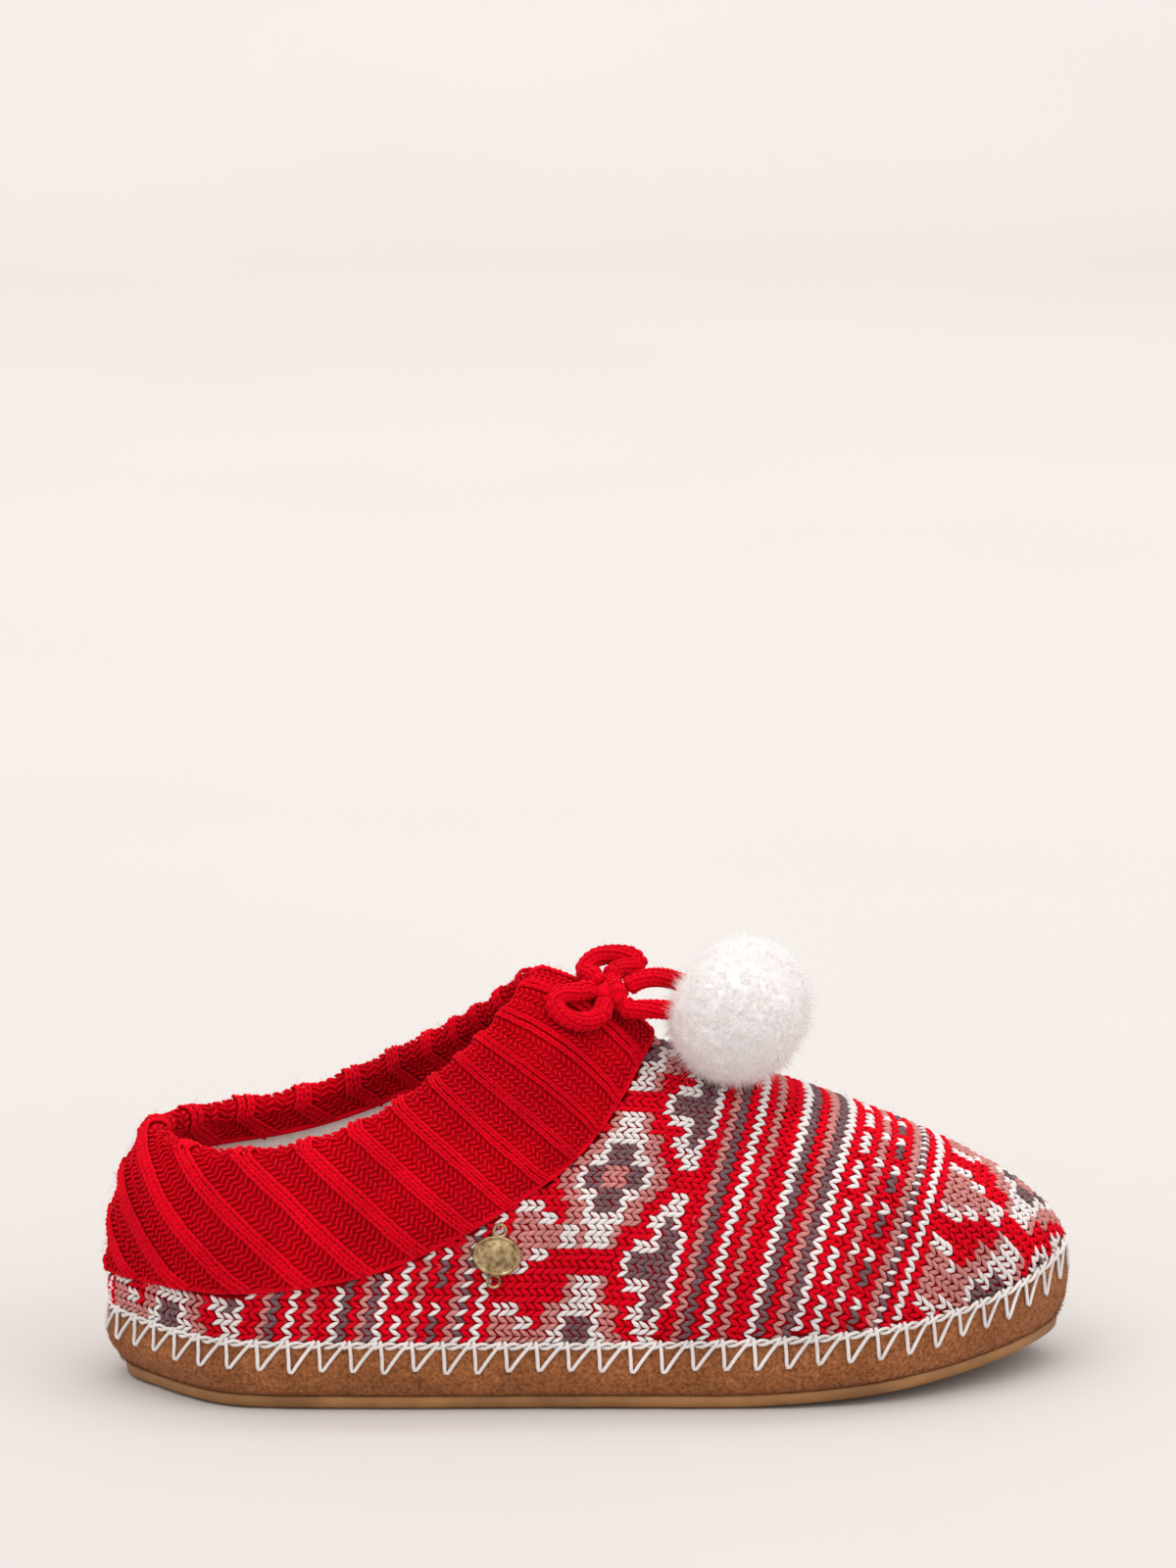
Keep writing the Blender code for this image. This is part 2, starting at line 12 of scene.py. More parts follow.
import bpy
import numpy as np
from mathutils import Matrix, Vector


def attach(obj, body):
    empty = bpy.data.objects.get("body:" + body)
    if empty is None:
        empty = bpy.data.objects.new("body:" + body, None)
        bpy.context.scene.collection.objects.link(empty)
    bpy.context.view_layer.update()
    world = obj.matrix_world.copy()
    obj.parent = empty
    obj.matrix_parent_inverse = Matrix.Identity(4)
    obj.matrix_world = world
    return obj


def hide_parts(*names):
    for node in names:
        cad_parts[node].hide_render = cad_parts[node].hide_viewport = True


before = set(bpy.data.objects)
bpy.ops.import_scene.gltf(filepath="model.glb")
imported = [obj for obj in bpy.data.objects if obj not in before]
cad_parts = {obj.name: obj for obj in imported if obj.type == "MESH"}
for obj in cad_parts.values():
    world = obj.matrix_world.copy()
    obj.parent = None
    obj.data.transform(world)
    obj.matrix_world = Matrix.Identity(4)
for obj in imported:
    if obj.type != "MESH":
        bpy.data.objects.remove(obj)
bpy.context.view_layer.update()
rng = np.random.default_rng(7)

# Sizes that the source gives
SEAM_LENGTH = 0.256
BALL_WIDTH = 0.093
SEAM_HEIGHT = 0.0185
UPPER_HEIGHT = 0.0915
TOE_SPRING = 0.0085
GAP = 0.0003
RUBBER = 0.0039
SOLE_TUCK = 0.0028
FOXING_TUCK = 0.0010
HEEL_TUCK = 0.0022
FOXING_BULGE = 0.0018
FOXING_LIP = 0.0009
PLATFORM = 0.0080
INSOLE = 0.0050
LEDGE_MARGIN = 0.0014
SPRING_START = 0.62
SPRING_POWER = 1.6
WALL = 0.0030
CUFF_WALL = 0.0056
CUFF_PROUD = 0.0013
HEM_STEP = 0.0011
RIB_RELIEF = 0.0007
CORD = 0.0044
KNOT_SIZE = (0.0114, 0.0104, 0.0072)
POMPOM_RADIUS = 0.0178
CHARM_WIDTH = 0.0130
CHARM_HEIGHT = 0.0108
CHARM_THICKNESS = 0.0018
RING_RADIUS = 0.0016
RING_WIRE = 0.00045
CHARM_STAND = 0.0006
CHARM_TILT = 0.12
CHARM_SECTION = 5.16  # the plate's u on the shell, and its t
CHARM_SHARE = 0.79
KNOT_SECTION = 10.3  # the knot's u on the cuff, and its t
KNOT_SHARE = 0.51

Row = namedtuple("Row", "along lateral medial height")

SOLE_SEAM = [
    Row(0.000, 0.000, 0.000, 1.08),
    Row(0.030, -0.161, 0.161, 1.06),
    Row(0.098, -0.355, 0.349, 1.03),
    Row(0.191, -0.419, 0.398, 1.02),
    Row(0.308, -0.441, 0.382, 1.01),
    Row(0.444, -0.455, 0.398, 1.00),
    Row(0.581, -0.478, 0.462, 1.02),
    Row(0.705, -0.490, 0.509, 1.08),
    Row(0.814, -0.441, 0.484, 1.18),
    Row(0.907, -0.300, 0.387, 1.36),
    Row(0.970, -0.135, 0.237, 1.60),
    Row(1.000, 0.054, 0.054, 1.82),
]

SIDE = [
    Row(-0.003, 0.000, 0.000, 0.047),
    Row(0.027, -0.159, 0.159, 0.047),
    Row(0.096, -0.358, 0.353, 0.049),
    Row(0.188, -0.419, 0.398, 0.052),
    Row(0.300, -0.441, 0.387, 0.071),
    Row(0.425, -0.458, 0.403, 0.104),
    Row(0.553, -0.482, 0.457, 0.142),
    Row(0.674, -0.487, 0.498, 0.235),
    Row(0.775, -0.409, 0.457, 0.363),
    Row(0.853, -0.285, 0.333, 0.372),
    Row(0.896, -0.151, 0.194, 0.386),
    Row(0.915, 0.032, 0.032, 0.396),
]

SHOULDER = [
    Row(-0.004, 0.000, 0.000, 0.079),
    Row(0.025, -0.153, 0.153, 0.082),
    Row(0.094, -0.353, 0.347, 0.093),
    Row(0.182, -0.412, 0.394, 0.102),
    Row(0.287, -0.432, 0.387, 0.140),
    Row(0.394, -0.441, 0.401, 0.208),
    Row(0.495, -0.443, 0.430, 0.279),
    Row(0.588, -0.430, 0.435, 0.399),
    Row(0.666, -0.366, 0.376, 0.504),
    Row(0.713, -0.253, 0.263, 0.570),
    Row(0.728, -0.129, 0.134, 0.610),
    Row(0.744, 0.011, 0.011, 0.612),
]

CUFF_SEAM = [
    Row(-0.002, 0.000, 0.000, 0.109),
    Row(0.026, -0.140, 0.140, 0.118),
    Row(0.094, -0.339, 0.333, 0.134),
    Row(0.176, -0.398, 0.382, 0.151),
    Row(0.269, -0.415, 0.380, 0.204),
    Row(0.355, -0.409, 0.382, 0.303),
    Row(0.421, -0.383, 0.371, 0.404),
    Row(0.472, -0.331, 0.328, 0.492),
    Row(0.507, -0.269, 0.269, 0.585),
    Row(0.534, -0.188, 0.188, 0.678),
    Row(0.555, -0.091, 0.091, 0.758),
    Row(0.565, 0.000, 0.000, 0.786),
]

CUFF_BELLY = [
    Row(0.013, 0.000, 0.000, 0.344),
    Row(0.038, -0.167, 0.167, 0.344),
    Row(0.098, -0.328, 0.328, 0.348),
    Row(0.176, -0.376, 0.366, 0.368),
    Row(0.260, -0.387, 0.371, 0.423),
    Row(0.332, -0.371, 0.360, 0.508),
    Row(0.384, -0.328, 0.323, 0.596),
    Row(0.425, -0.280, 0.280, 0.668),
    Row(0.456, -0.226, 0.226, 0.749),
    Row(0.483, -0.156, 0.156, 0.831),
    Row(0.505, -0.075, 0.075, 0.880),
    Row(0.512, 0.000, 0.000, 0.891),
]

CUFF_RIM = [
    Row(0.047, 0.000, 0.000, 0.534),
    Row(0.067, -0.161, 0.161, 0.516),
    Row(0.118, -0.280, 0.280, 0.514),
    Row(0.188, -0.312, 0.312, 0.536),
    Row(0.258, -0.315, 0.315, 0.600),
    Row(0.316, -0.285, 0.285, 0.685),
    Row(0.355, -0.231, 0.231, 0.750),
    Row(0.382, -0.183, 0.183, 0.805),
    Row(0.405, -0.138, 0.138, 0.855),
    Row(0.427, -0.091, 0.091, 0.920),
    Row(0.442, -0.043, 0.043, 0.958),
    Row(0.450, 0.000, 0.000, 0.969),
]

RIBS_AT_SEAM = [-2.2, -1.0, 0.3, 1.6, 3.1, 4.7, 6.3, 7.75, 9.2, 10.4, 11.3, 12.0]
RIBS_AT_RIM = [1.0, 1.7, 2.7, 3.8, 5.1, 6.5, 7.7, 8.8, 9.7, 10.5, 11.3, 12.0]

SECTIONS = len(SOLE_SEAM) - 1
TURN = 2 * SECTIONS

# The bow's routes. The near loop lies on the cuff, at u and t; the rest are steps from the knot.
NEAR_LOOP = [(9.55, 0.47), (9.25, 0.51), (9.06, 0.59), (9.03, 0.69), (9.18, 0.77), (9.45, 0.76), (9.72, 0.69)]
FAR_LOOP = [
    (-0.0066, 0.0062, 0.0046),
    (-0.0038, 0.0088, 0.0074),
    (0.0014, 0.0102, 0.0082),
    (0.0062, 0.0102, 0.0076),
    (0.0080, 0.0090, 0.0056),
    (0.0052, 0.0078, 0.0052),
]
NEAR_END = [(0.0078, -0.0050, -0.0034), (0.0130, -0.0062, -0.0032)]
FAR_END = [(0.0104, 0.0024, 0.0034), (0.0152, 0.0072, 0.0022), (0.0196, 0.0122, -0.0004)]
NEAR_LOOP_OUT = (-0.35, -0.85, -0.35)
NEAR_LOOP_BACK = (-0.90, -0.35, 0.15)
FAR_LOOP_OUT = (-0.72, 0.52, 0.50)
FAR_LOOP_BACK = (0.20, 0.80, 0.62)
NEAR_END_OUT = (0.70, -0.55, -0.40)
FAR_END_OUT = (0.95, 0.15, 0.26)
NEAR_POMPOM_AT = (0.0325, -0.0087)
FAR_POMPOM_AT = (0.0384, 0.0300)

# The jacquard's chart, by rows across the foot. Row 0 crosses the rear and row 48 is row 0 again, nearer to the
# toe. P is pink, G grey, W white and R red. A letter alone is a whole row in one colour.
CYCLE = 48
BANDS = "PGRWRPRRWGRPGWR.R.R.RPMRWR"  # M is white and grey side by side
PEERIES = {15: "WWWR", 17: "PPPW", 19: "GGRW"}
PEERIE_SHIFT = 2

# Each motif is symmetric. Its first line is the wale beside its middle, with one letter for each row.
REPEAT = 14  # wales from one motif to the next
MOTIF_A_ROW = 30
MOTIF_A = [
    "PPWGGPPPGGWPP",
    "RPPWWGGGWWPPR",
    "RRPPWGGGWPPRR",
    "RRPPWWWWWPPRR",
    "RRRRPWWWPRRRR",
    "RRRRPWWWPRRRR",
    "RRRRRRRRRRRRR",
]
MOTIF_B_ROW = 40
MOTIF_B = ["WGGGGGW", "RWWWGGW", "RRRWGGW", "RRWWGWR", "RRRWWWR", "RRRRWWR", "RRRRRRR"]
MOTIF_C_ROW = 26
MOTIF_C = ["PPPPPPWW", "PPPWWRRR", "WWWRRRRR", "RRRRRRRR"]

# Where four rows of the chart leave the lateral sole seam, from the back of the heel
ROWS = [0, 24, 48, 72]
ROWS_ALONG = [0.0377, 0.0943, 0.1474, 0.2060]
REAR_PITCH = 0.00236
FRONT_PITCH = 0.00244

# Wales counted from the ridge of the vamp, at distances along a row, and the count at the middle of motif B
WALES_FROM_RIDGE = [0.0706, 0.1106]
WALE_COUNTS = [21.27, 31.8]
MOTIF_MIDDLE = 7.26
LEAN_ALONG = [0.147, 0.186, 0.206, 0.240, 0.256]
LEAN = [0.0220, 0.0192, 0.0187, 0.0125, 0.0040]  # how far a row runs forward from the seam to the ridge

RIB_WALES = 6  # wales from one rib of the cuff to the next
KNIT_SHARE = 0.17  # the part of a rib, to either side of its top, whose wales are knit
COURSE = 0.00162  # from one stitch of a wale to the next
RELIEF_SHOWN = 0.00034
HEM_SHOWN = 0.72  # where the hem's stitches end, above the solid's hem so that the fleece shows

CHAIN_STEP = 0.0082  # between the knots of the whip stitch
THREAD = 0.00102
LEG_DROP = 0.0072

PLY_TURN = 2.2 / 0.004  # how fast a ply turns around its yarn
GROUND_SIZE = 0.0011 / 0.4  # of the yarn pattern on the grounds under the stitches
LINING_DEPTH = 0.0016
CUFF_GROUND_DEPTH = 0.00030

SUEDE_HAIRS = 5200
CUFF_HAIRS = 12000
SHELL_HAIRS = 4200
CORD_HAIRS = 150
POMPOM_HAIRS = 15000


def cubic(f, start, end, leave, arrive):
    """A curve between two points, with its slopes where it leaves and arrives."""
    near = (2 * f**3 - 3 * f**2 + 1) * start + (f**3 - 2 * f**2 + f) * leave
    return near + (3 * f**2 - 2 * f**3) * end + (f**3 - f**2) * arrive


def closed_curve(points, places):
    """Points on a smooth closed curve through the given ones. A place counts them from the first."""
    p = np.asarray(points, float)
    n = len(p)
    weights = 4 * np.eye(n) + np.roll(np.eye(n), 1, 0) + np.roll(np.eye(n), -1, 0)
    slopes = np.linalg.solve(weights, 3 * (np.roll(p, -1, 0) - np.roll(p, 1, 0)))
    whole = np.floor(places)
    i = whole.astype(int) % n
    j = (i + 1) % n
    return cubic((places - whole)[:, None], p[i], p[j], slopes[i], slopes[j])


def loop(rows, at_sole=False):
    """A table of the last as a closed loop of points: the lateral side to the toe, and the medial one back."""

    def point(row, across):
        height = row.height * SEAM_HEIGHT if at_sole else SEAM_HEIGHT + row.height * UPPER_HEIGHT
        return (row.along * SEAM_LENGTH, across * BALL_WIDTH, height)

    lateral = [point(row, row.lateral) for row in rows]
    medial = [point(row, row.medial) for row in rows]
    return lateral + medial[-2:0:-1]


SEAM_LOOP = loop(SOLE_SEAM, at_sole=True)
FOOT_LOOP = loop(CUFF_SEAM)
BELLY_LOOP = loop(CUFF_BELLY)
RIM_LOOP = loop(CUFF_RIM)
SHELL_LOOPS = [SEAM_LOOP, loop(SIDE), loop(SHOULDER), FOOT_LOOP]


def unit(vectors):
    return vectors / (np.linalg.norm(vectors, axis=-1, keepdims=True) + 1e-12)


def distances(points):
    """The way run along a path at each of its points."""
    return np.concatenate([[0], np.cumsum(np.linalg.norm(np.diff(points, axis=0), axis=1))])


def sampled(places, run, vectors):
    """Vectors given along a run, read off at places."""
    return np.stack([np.interp(places, run, column) for column in vectors.T], axis=1)


def circle_angles(count):
    return np.arange(count) * 2 * math.pi / count


def on_side(u, side):
    return u if side > 0 else TURN - u


def between(loops, t):
    """The curve that passes through the loops, at t from 0 on the first to 1 on the last."""
    places = np.linspace(0, 1, len(loops))
    total = 0
    for i, points in enumerate(loops):
        weight = np.prod([(t - q) / (places[i] - q) for j, q in enumerate(places) if j != i], axis=0)
        total = total + points * np.asarray(weight).reshape(-1, 1)
    return total


def outward_of(surface, u, t):
    """Unit normals of surface(u, t), by small steps."""
    step = 1e-3
    t = np.broadcast_to(np.asarray(t, float), np.shape(u))
    low, high = np.clip(t - step, 0, 1), np.clip(t + step, 0, 1)
    around = surface(u + step, t) - surface(u - step, t)
    return unit(np.cross(around, surface(u, high) - surface(u, low)))


def shell(u, t):
    """The jacquard shell's outer surface: t from 0 at the sole seam to 1 at the cuff seam."""
    return between([closed_curve(points, u) for points in SHELL_LOOPS], t)


def under_shell(u, t, depth):
    return shell(u, t) - outward_of(shell, u, t) * depth


def sole_seam(u):
    return closed_curve(SEAM_LOOP, u)


def sole_outward(u):
    """The level direction out of the sole seam."""
    step = 1e-3
    along = sole_seam(u + step) - sole_seam(u - step)
    return unit(np.stack([along[:, 1], -along[:, 0], 0 * u], axis=1))


def spring(x):
    """The height of the sole's underside, flat up to the ball of the foot."""
    share = (x / SEAM_LENGTH - SPRING_START) / (1 - SPRING_START)
    return TOE_SPRING * np.clip(share, 0, 1) ** SPRING_POWER


def sole_ring(u, out, height, heel=0.0):
    """A ring out from the sole seam, and in by heel at its back, at a height worked out from x."""
    outward = sole_outward(u)
    tuck = heel * np.clip(-outward[:, :1], 0, 1) ** 2
    ring = sole_seam(u) + outward * (out - tuck)
    ring[:, 2] = height(ring[:, 0])
    return ring


def rib_count(u, t):
    """Ribs between the bow and a place on the cuff; t runs from its seam to its rim."""
    side = SECTIONS - np.abs(u % TURN - SECTIONS)
    rows = np.arange(SECTIONS + 1)
    at_seam = np.interp(side, rows, RIBS_AT_SEAM)
    at_rim = np.interp(side, rows, RIBS_AT_RIM)
    return at_seam + (at_rim - at_seam) * t


def cuff_middle(u, t):
    """The middle of the cuff's wall."""
    normal = outward_of(shell, u, 1.0)
    up = unit(shell(u, 1.0) - shell(u, 0.99))
    foot = closed_curve(FOOT_LOOP, u) + up * GAP + normal * (CUFF_PROUD - (WALL + CUFF_PROUD) / 2)
    return between([foot, closed_curve(BELLY_LOOP, u), closed_curve(RIM_LOOP, u)], t)


def cuff_outward(u, t):
    """The direction out of the cuff. At its foot it is the shell's."""
    t = np.broadcast_to(np.asarray(t, float), np.shape(u))
    share = np.minimum(1.0, t / 0.12)[:, None]
    own = outward_of(cuff_middle, u, t)
    return unit(outward_of(shell, u, 1.0) * (1 - share) + own * share)


def cuff_half(t):
    """Half the cuff's wall without its hem."""
    return (WALL + CUFF_PROUD + (CUFF_WALL - WALL - CUFF_PROUD) * t) / 2


def off_cuff(u, t, reach):
    """Points at a reach from the middle of the cuff's wall, outward or, below zero, inward."""
    return cuff_middle(u, t) + cuff_outward(u, t) * np.reshape(reach, (-1, 1))


def ribbed(u, t, relief):
    t = np.broadcast_to(np.asarray(t, float), np.shape(u))
    return off_cuff(u, t, cuff_half(t) + relief * np.cos(2 * math.pi * rib_count(u, t)))


def cuff_outside(u, t):
    """The ribbed outer surface of the cuff."""
    return ribbed(u, t, RIB_RELIEF)


def cuff_face(u, t):
    """The cuff's outer surface under its stitches, which carry part of the ribs' relief themselves."""
    return ribbed(u, t, RELIEF_SHOWN)


def places_around(count):
    return np.arange(count) * TURN / count


def sole_middle():
    """The middle of the sole's widest outline."""
    u = places_around(88)
    outline = sole_seam(u) + sole_outward(u) * FOXING_BULGE
    return (outline.min(0) + outline.max(0)) / 2


OFFSET = -sole_middle() * (1, 1, 0)


def cleared(name):
    """A new material with only its Principled shader and its output, and its node tree."""
    made = bpy.data.materials.new(name)
    made.use_nodes = True
    return made, made.node_tree, made.node_tree.nodes["Principled BSDF"]


def add_node(tree, kind, **settings):
    node = tree.nodes.new(kind)
    for key, value in settings.items():
        if hasattr(node, key):
            setattr(node, key, value)
        else:
            node.inputs[key.replace("_", " ")].default_value = value
    return node


def ramp(tree, source, stops):
    """A colour ramp from (place, colour) stops."""
    node = tree.nodes.new("ShaderNodeValToRGB")
    elements = node.color_ramp.elements
    while len(elements) < len(stops):
        elements.new(0.5)
    for element, (place, colour) in zip(elements, stops):
        element.position = place
        element.color = (*colour, 1.0)
    tree.links.new(source, node.inputs["Fac"])
    return node.outputs["Color"]


def multiplied(tree, first, second):
    """Two colours times one another."""
    node = add_node(tree, "ShaderNodeMix", data_type="RGBA", blend_type="MULTIPLY")
    node.inputs["Factor"].default_value = 1.0
    for name, source in (("A", first), ("B", second)):
        target = [socket for socket in node.inputs if socket.name == name and socket.type == "RGBA"][0]
        tree.links.new(source, target)
    return [socket for socket in node.outputs if socket.type == "RGBA"][0]


def noise(tree, source, scale, detail, roughness=0.5):
    node = add_node(tree, "ShaderNodeTexNoise", Scale=scale, Detail=detail, Roughness=roughness)
    tree.links.new(source, node.inputs["Vector"])
    return node.outputs["Fac"]


def place_on_object(tree):
    return add_node(tree, "ShaderNodeTexCoord").outputs["Object"]


def finish_shader(tree, shader, colour, height, strength, distance, **values):
    """Links a colour and a bump to the shader, and sets its values."""
    tree.links.new(colour, shader.inputs["Base Color"])
    relief = add_node(tree, "ShaderNodeBump", Strength=strength, Distance=distance)
    tree.links.new(height, relief.inputs["Height"])
    tree.links.new(relief.outputs["Normal"], shader.inputs["Normal"])
    set_values(shader, **values)


def set_values(shader, **values):
    for name, value in values.items():
        shader.inputs[name.replace("_", " ")].default_value = value


def yarn_material(name, deep, middle, light, sheen=0.1, fibre_scale=3.2, bump=0.5, worn_shade=0.82):
    """Spun wool. The yarn attribute runs along each strand, so its fibres follow the twist of the ply."""
    made, tree, shader = cleared(name)
    strand = add_node(tree, "ShaderNodeAttribute", attribute_name="yarn").outputs["Vector"]
    fibres = noise(tree, strand, fibre_scale, 4.0, 0.62)
    patches = noise(tree, place_on_object(tree), 55.0, 3.0)
    colour = ramp(tree, fibres, [(0.30, deep), (0.52, middle), (0.74, light)])
    worn = ramp(tree, patches, [(0.35, (worn_shade,) * 3), (0.65, (1.0, 1.0, 1.0))])
    surface = {"Roughness": 0.92, "Specular_IOR_Level": 0.05, "Sheen_Weight": sheen, "Sheen_Roughness": 0.45}
    finish_shader(tree, shader, multiplied(tree, colour, worn), fibres, bump, 0.0003, **surface)
    return made


def pile_material(name, deep, light, scale, sheen, bump):
    """A short pile or nap, with patches where it lies another way."""
    made, tree, shader = cleared(name)
    where = place_on_object(tree)
    grain = noise(tree, where, scale, 5.0, 0.7)
    patches = noise(tree, where, scale * 0.07, 3.0, 0.6)
    fine = ramp(tree, grain, [(0.32, deep), (0.68, light)])
    broad = ramp(tree, patches, [(0.35, (0.78, 0.76, 0.74)), (0.66, (1.0, 1.0, 1.0))])
    surface = {"Roughness": 0.95, "Specular_IOR_Level": 0.12, "Sheen_Weight": sheen, "Sheen_Roughness": 0.5}
    finish_shader(tree, shader, multiplied(tree, fine, broad), grain, bump, 0.0006, **surface)
    return made


def rubber_material():
    """Gum rubber, faintly mottled, with a fine grain."""
    made, tree, shader = cleared("gum_rubber_finish")
    where = place_on_object(tree)
    clouds = noise(tree, where, 60.0, 4.0)
    colour = ramp(tree, clouds, [(0.35, (0.225, 0.098, 0.028)), (0.65, (0.360, 0.165, 0.050))])
    finish_shader(tree, shader, colour, noise(tree, where, 900.0, 2.0), 0.35, 0.0002, Roughness=0.55)
    return made


def brass_material():
    """Aged brass: bright where hands rub it, brown in its hollows."""
    made, tree, shader = cleared("antique_brass_finish")
    where = place_on_object(tree)
    tarnish = noise(tree, where, 420.0, 5.0, 0.65)
    scratches = noise(tree, where, 1800.0, 2.0)
    rough = add_node(tree, "ShaderNodeMapRange", From_Min=0.3, From_Max=0.7, To_Min=0.5, To_Max=0.28)
    tree.links.new(tarnish, rough.inputs["Value"])
    tree.links.new(rough.outputs["Result"], shader.inputs["Roughness"])
    stops = [(0.36, (0.16, 0.10, 0.045)), (0.50, (0.36, 0.255, 0.13)), (0.70, (0.58, 0.455, 0.26))]
    finish_shader(tree, shader, ramp(tree, tarnish, stops), scratches, 0.25, 0.0001, Metallic=1.0)
    return made


RED = yarn_material("red_yarn", (0.52, 0.0002, 0.0060), (0.76, 0.0003, 0.0125), (0.90, 0.002, 0.026), 0.02)
# Painted shade: the grounds are the same red yarn as the stitches, coloured darker so the recesses between the
# stitches look deeper.
RED_GROUND_PAINTED_SHADE = yarn_material("red_ground_painted_shade", (0.30, 0.0002, 0.003), (0.46, 0.0003, 0.005), (0.60, 0.001, 0.009), 0.0)
WHITE = yarn_material("white_yarn_finish", (0.66, 0.60, 0.59), (0.84, 0.79, 0.78), (0.96, 0.93, 0.92))
PINK = yarn_material("pink_yarn", (0.40, 0.120, 0.115), (0.62, 0.235, 0.220), (0.80, 0.42, 0.39))
GREY = yarn_material("grey_yarn", (0.105, 0.050, 0.060), (0.185, 0.095, 0.110), (0.36, 0.23, 0.25))
THREAD_WHITE = yarn_material("thread_white", (0.64, 0.58, 0.56), (0.80, 0.75, 0.73), (0.92, 0.89, 0.87), 0.1)
POMPOM_TINTS = ((0.895, 0.850, 0.840), (0.940, 0.895, 0.885), (0.965, 0.930, 0.922))
POMPOM_WHITE = yarn_material("pompom_white_painted_glow", *POMPOM_TINTS, 0.0, 1.6, 0.0, 0.97)
# Painted light: the pompom glows faintly, in place of the light that scatters between its fibres.
set_values(
    POMPOM_WHITE.node_tree.nodes["Principled BSDF"],
    Subsurface_Weight=0.8,
    Subsurface_Radius=(1.0, 0.9, 0.85),
    Subsurface_Scale=0.004,
    Emission_Color=(1.0, 0.90, 0.88, 1.0),  # painted light: a faint glow in place of the light that passes through the wool
    Emission_Strength=0.09,
)
FLEECE = pile_material("fleece_pile", (0.88, 0.81, 0.79), (0.98, 0.94, 0.92), 700.0, 0.4, 0.5)
SUEDE = pile_material("suede_nap", (0.150, 0.046, 0.014), (0.520, 0.195, 0.075), 1000.0, 0.05, 1.0)
GUM = rubber_material()
BRASS = brass_material()
YARNS = {"R": RED, "W": WHITE, "P": PINK, "G": GREY}


def add_piece(name, points, faces, finish, yarn=None, replaced=()):
    """One smooth mesh piece on the root body. yarn is a vector for each point that a yarn finish reads."""
    mesh = bpy.data.meshes.new(name)
    mesh.from_pydata((np.asarray(points) + OFFSET).tolist(), [], faces)
    if yarn is not None:
        layer = mesh.attributes.new("yarn", "FLOAT_VECTOR", "POINT")
        layer.data.foreach_set("vector", np.asarray(yarn, np.float32).ravel())
    mesh.materials.append(finish)
    mesh.shade_smooth()
    mesh.validate()
    made = bpy.data.objects.new(name, mesh)
    bpy.context.scene.collection.objects.link(made)
    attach(made, "root")
    if replaced:
        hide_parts(*replaced)
    return made


def band_faces(rings, around, first=0, closed=False):
    """Quads between closed rings of points; where closed, the last ring joins the first."""
    ring = np.arange(rings if closed else rings - 1)[:, None]
    point = np.arange(around)[None, :]
    low = first + ring * around
    high = first + (ring + 1) % rings * around
    after = (point + 1) % around
    quads = np.stack([low + point, low + after, high + after, high + point], axis=-1)
    return quads.reshape(-1, 4).tolist()


def fan_faces(low_tip, first, high_tip, last, around):
    """Triangles from one tip to the ring that starts at first, and from another to the ring at last."""
    pairs = [(i, (i + 1) % around) for i in range(around)]
    low = [(low_tip, first + after, first + i) for i, after in pairs]
    return low + [(high_tip, last + i, last + after) for i, after in pairs]


def leaves(tails, heads, normals, width, depth, arch, sides=6, rings=(0.16, 0.5, 0.84), blunt=0.55):
    """Closed leaves of yarn from tails to heads: their points, faces and yarn vectors.

    width and depth are half the leaf's, arch lifts its middle along the normal, and blunt is less for fuller ends.
    """
    count = len(tails)
    run = heads - tails
    length = np.linalg.norm(run, axis=1)
    across = unit(np.cross(normals, run))
    up = unit(np.cross(run, across))
    width, depth, arch = (np.broadcast_to(v, count).astype(float) for v in (width, depth, arch))
    shade = rng.uniform(-40, 40, (count, 3))
    angles = circle_angles(sides)
    cos, sin = np.cos(angles)[None, :, None], np.sin(angles)[None, :, None]
    blocks, values = [tails[:, None, :]], [shade[:, None, :]]
    for s in rings:
        size = math.sin(math.pi * s) ** blunt
        middle = tails + run * s + up * (arch * math.sin(math.pi * s))[:, None]
        ring = middle[:, None, :] + across[:, None, :] * cos * (width * size)[:, None, None]
        blocks.append(ring + up[:, None, :] * sin * (depth * size)[:, None, None])
        turned = angles[None, :] + PLY_TURN * s * length[:, None]
        vector = np.stack([np.cos(turned), np.sin(turned), np.broadcast_to(0.6 * s, turned.shape)], axis=-1)
        values.append(vector + shade[:, None, :])
    blocks.append(heads[:, None, :])
    values.append(shade[:, None, :] + (0, 0, 0.6))
    points = np.concatenate(blocks, axis=1)
    each = points.shape[1]
    quads = np.array(band_faces(len(rings), sides, first=1))
    caps = np.array(fan_faces(0, 1, each - 1, 1 + (len(rings) - 1) * sides, sides))
    steps = (np.arange(count) * each)[:, None, None]
    faces = (quads[None] + steps).reshape(-1, 4).tolist() + (caps[None] + steps).reshape(-1, 3).tolist()
    return points.reshape(-1, 3), faces, np.concatenate(values, axis=1).reshape(-1, 3)


def joined(parts):
    """Several (points, faces, yarn) groups as one."""
    points, faces, yarn, first = [], [], [], 0
    for p, f, y in parts:
        points.append(p)
        yarn.append(y)
        faces += [[first + i for i in face] for face in f]
        first += len(p)
    return np.concatenate(points), faces, np.concatenate(yarn)


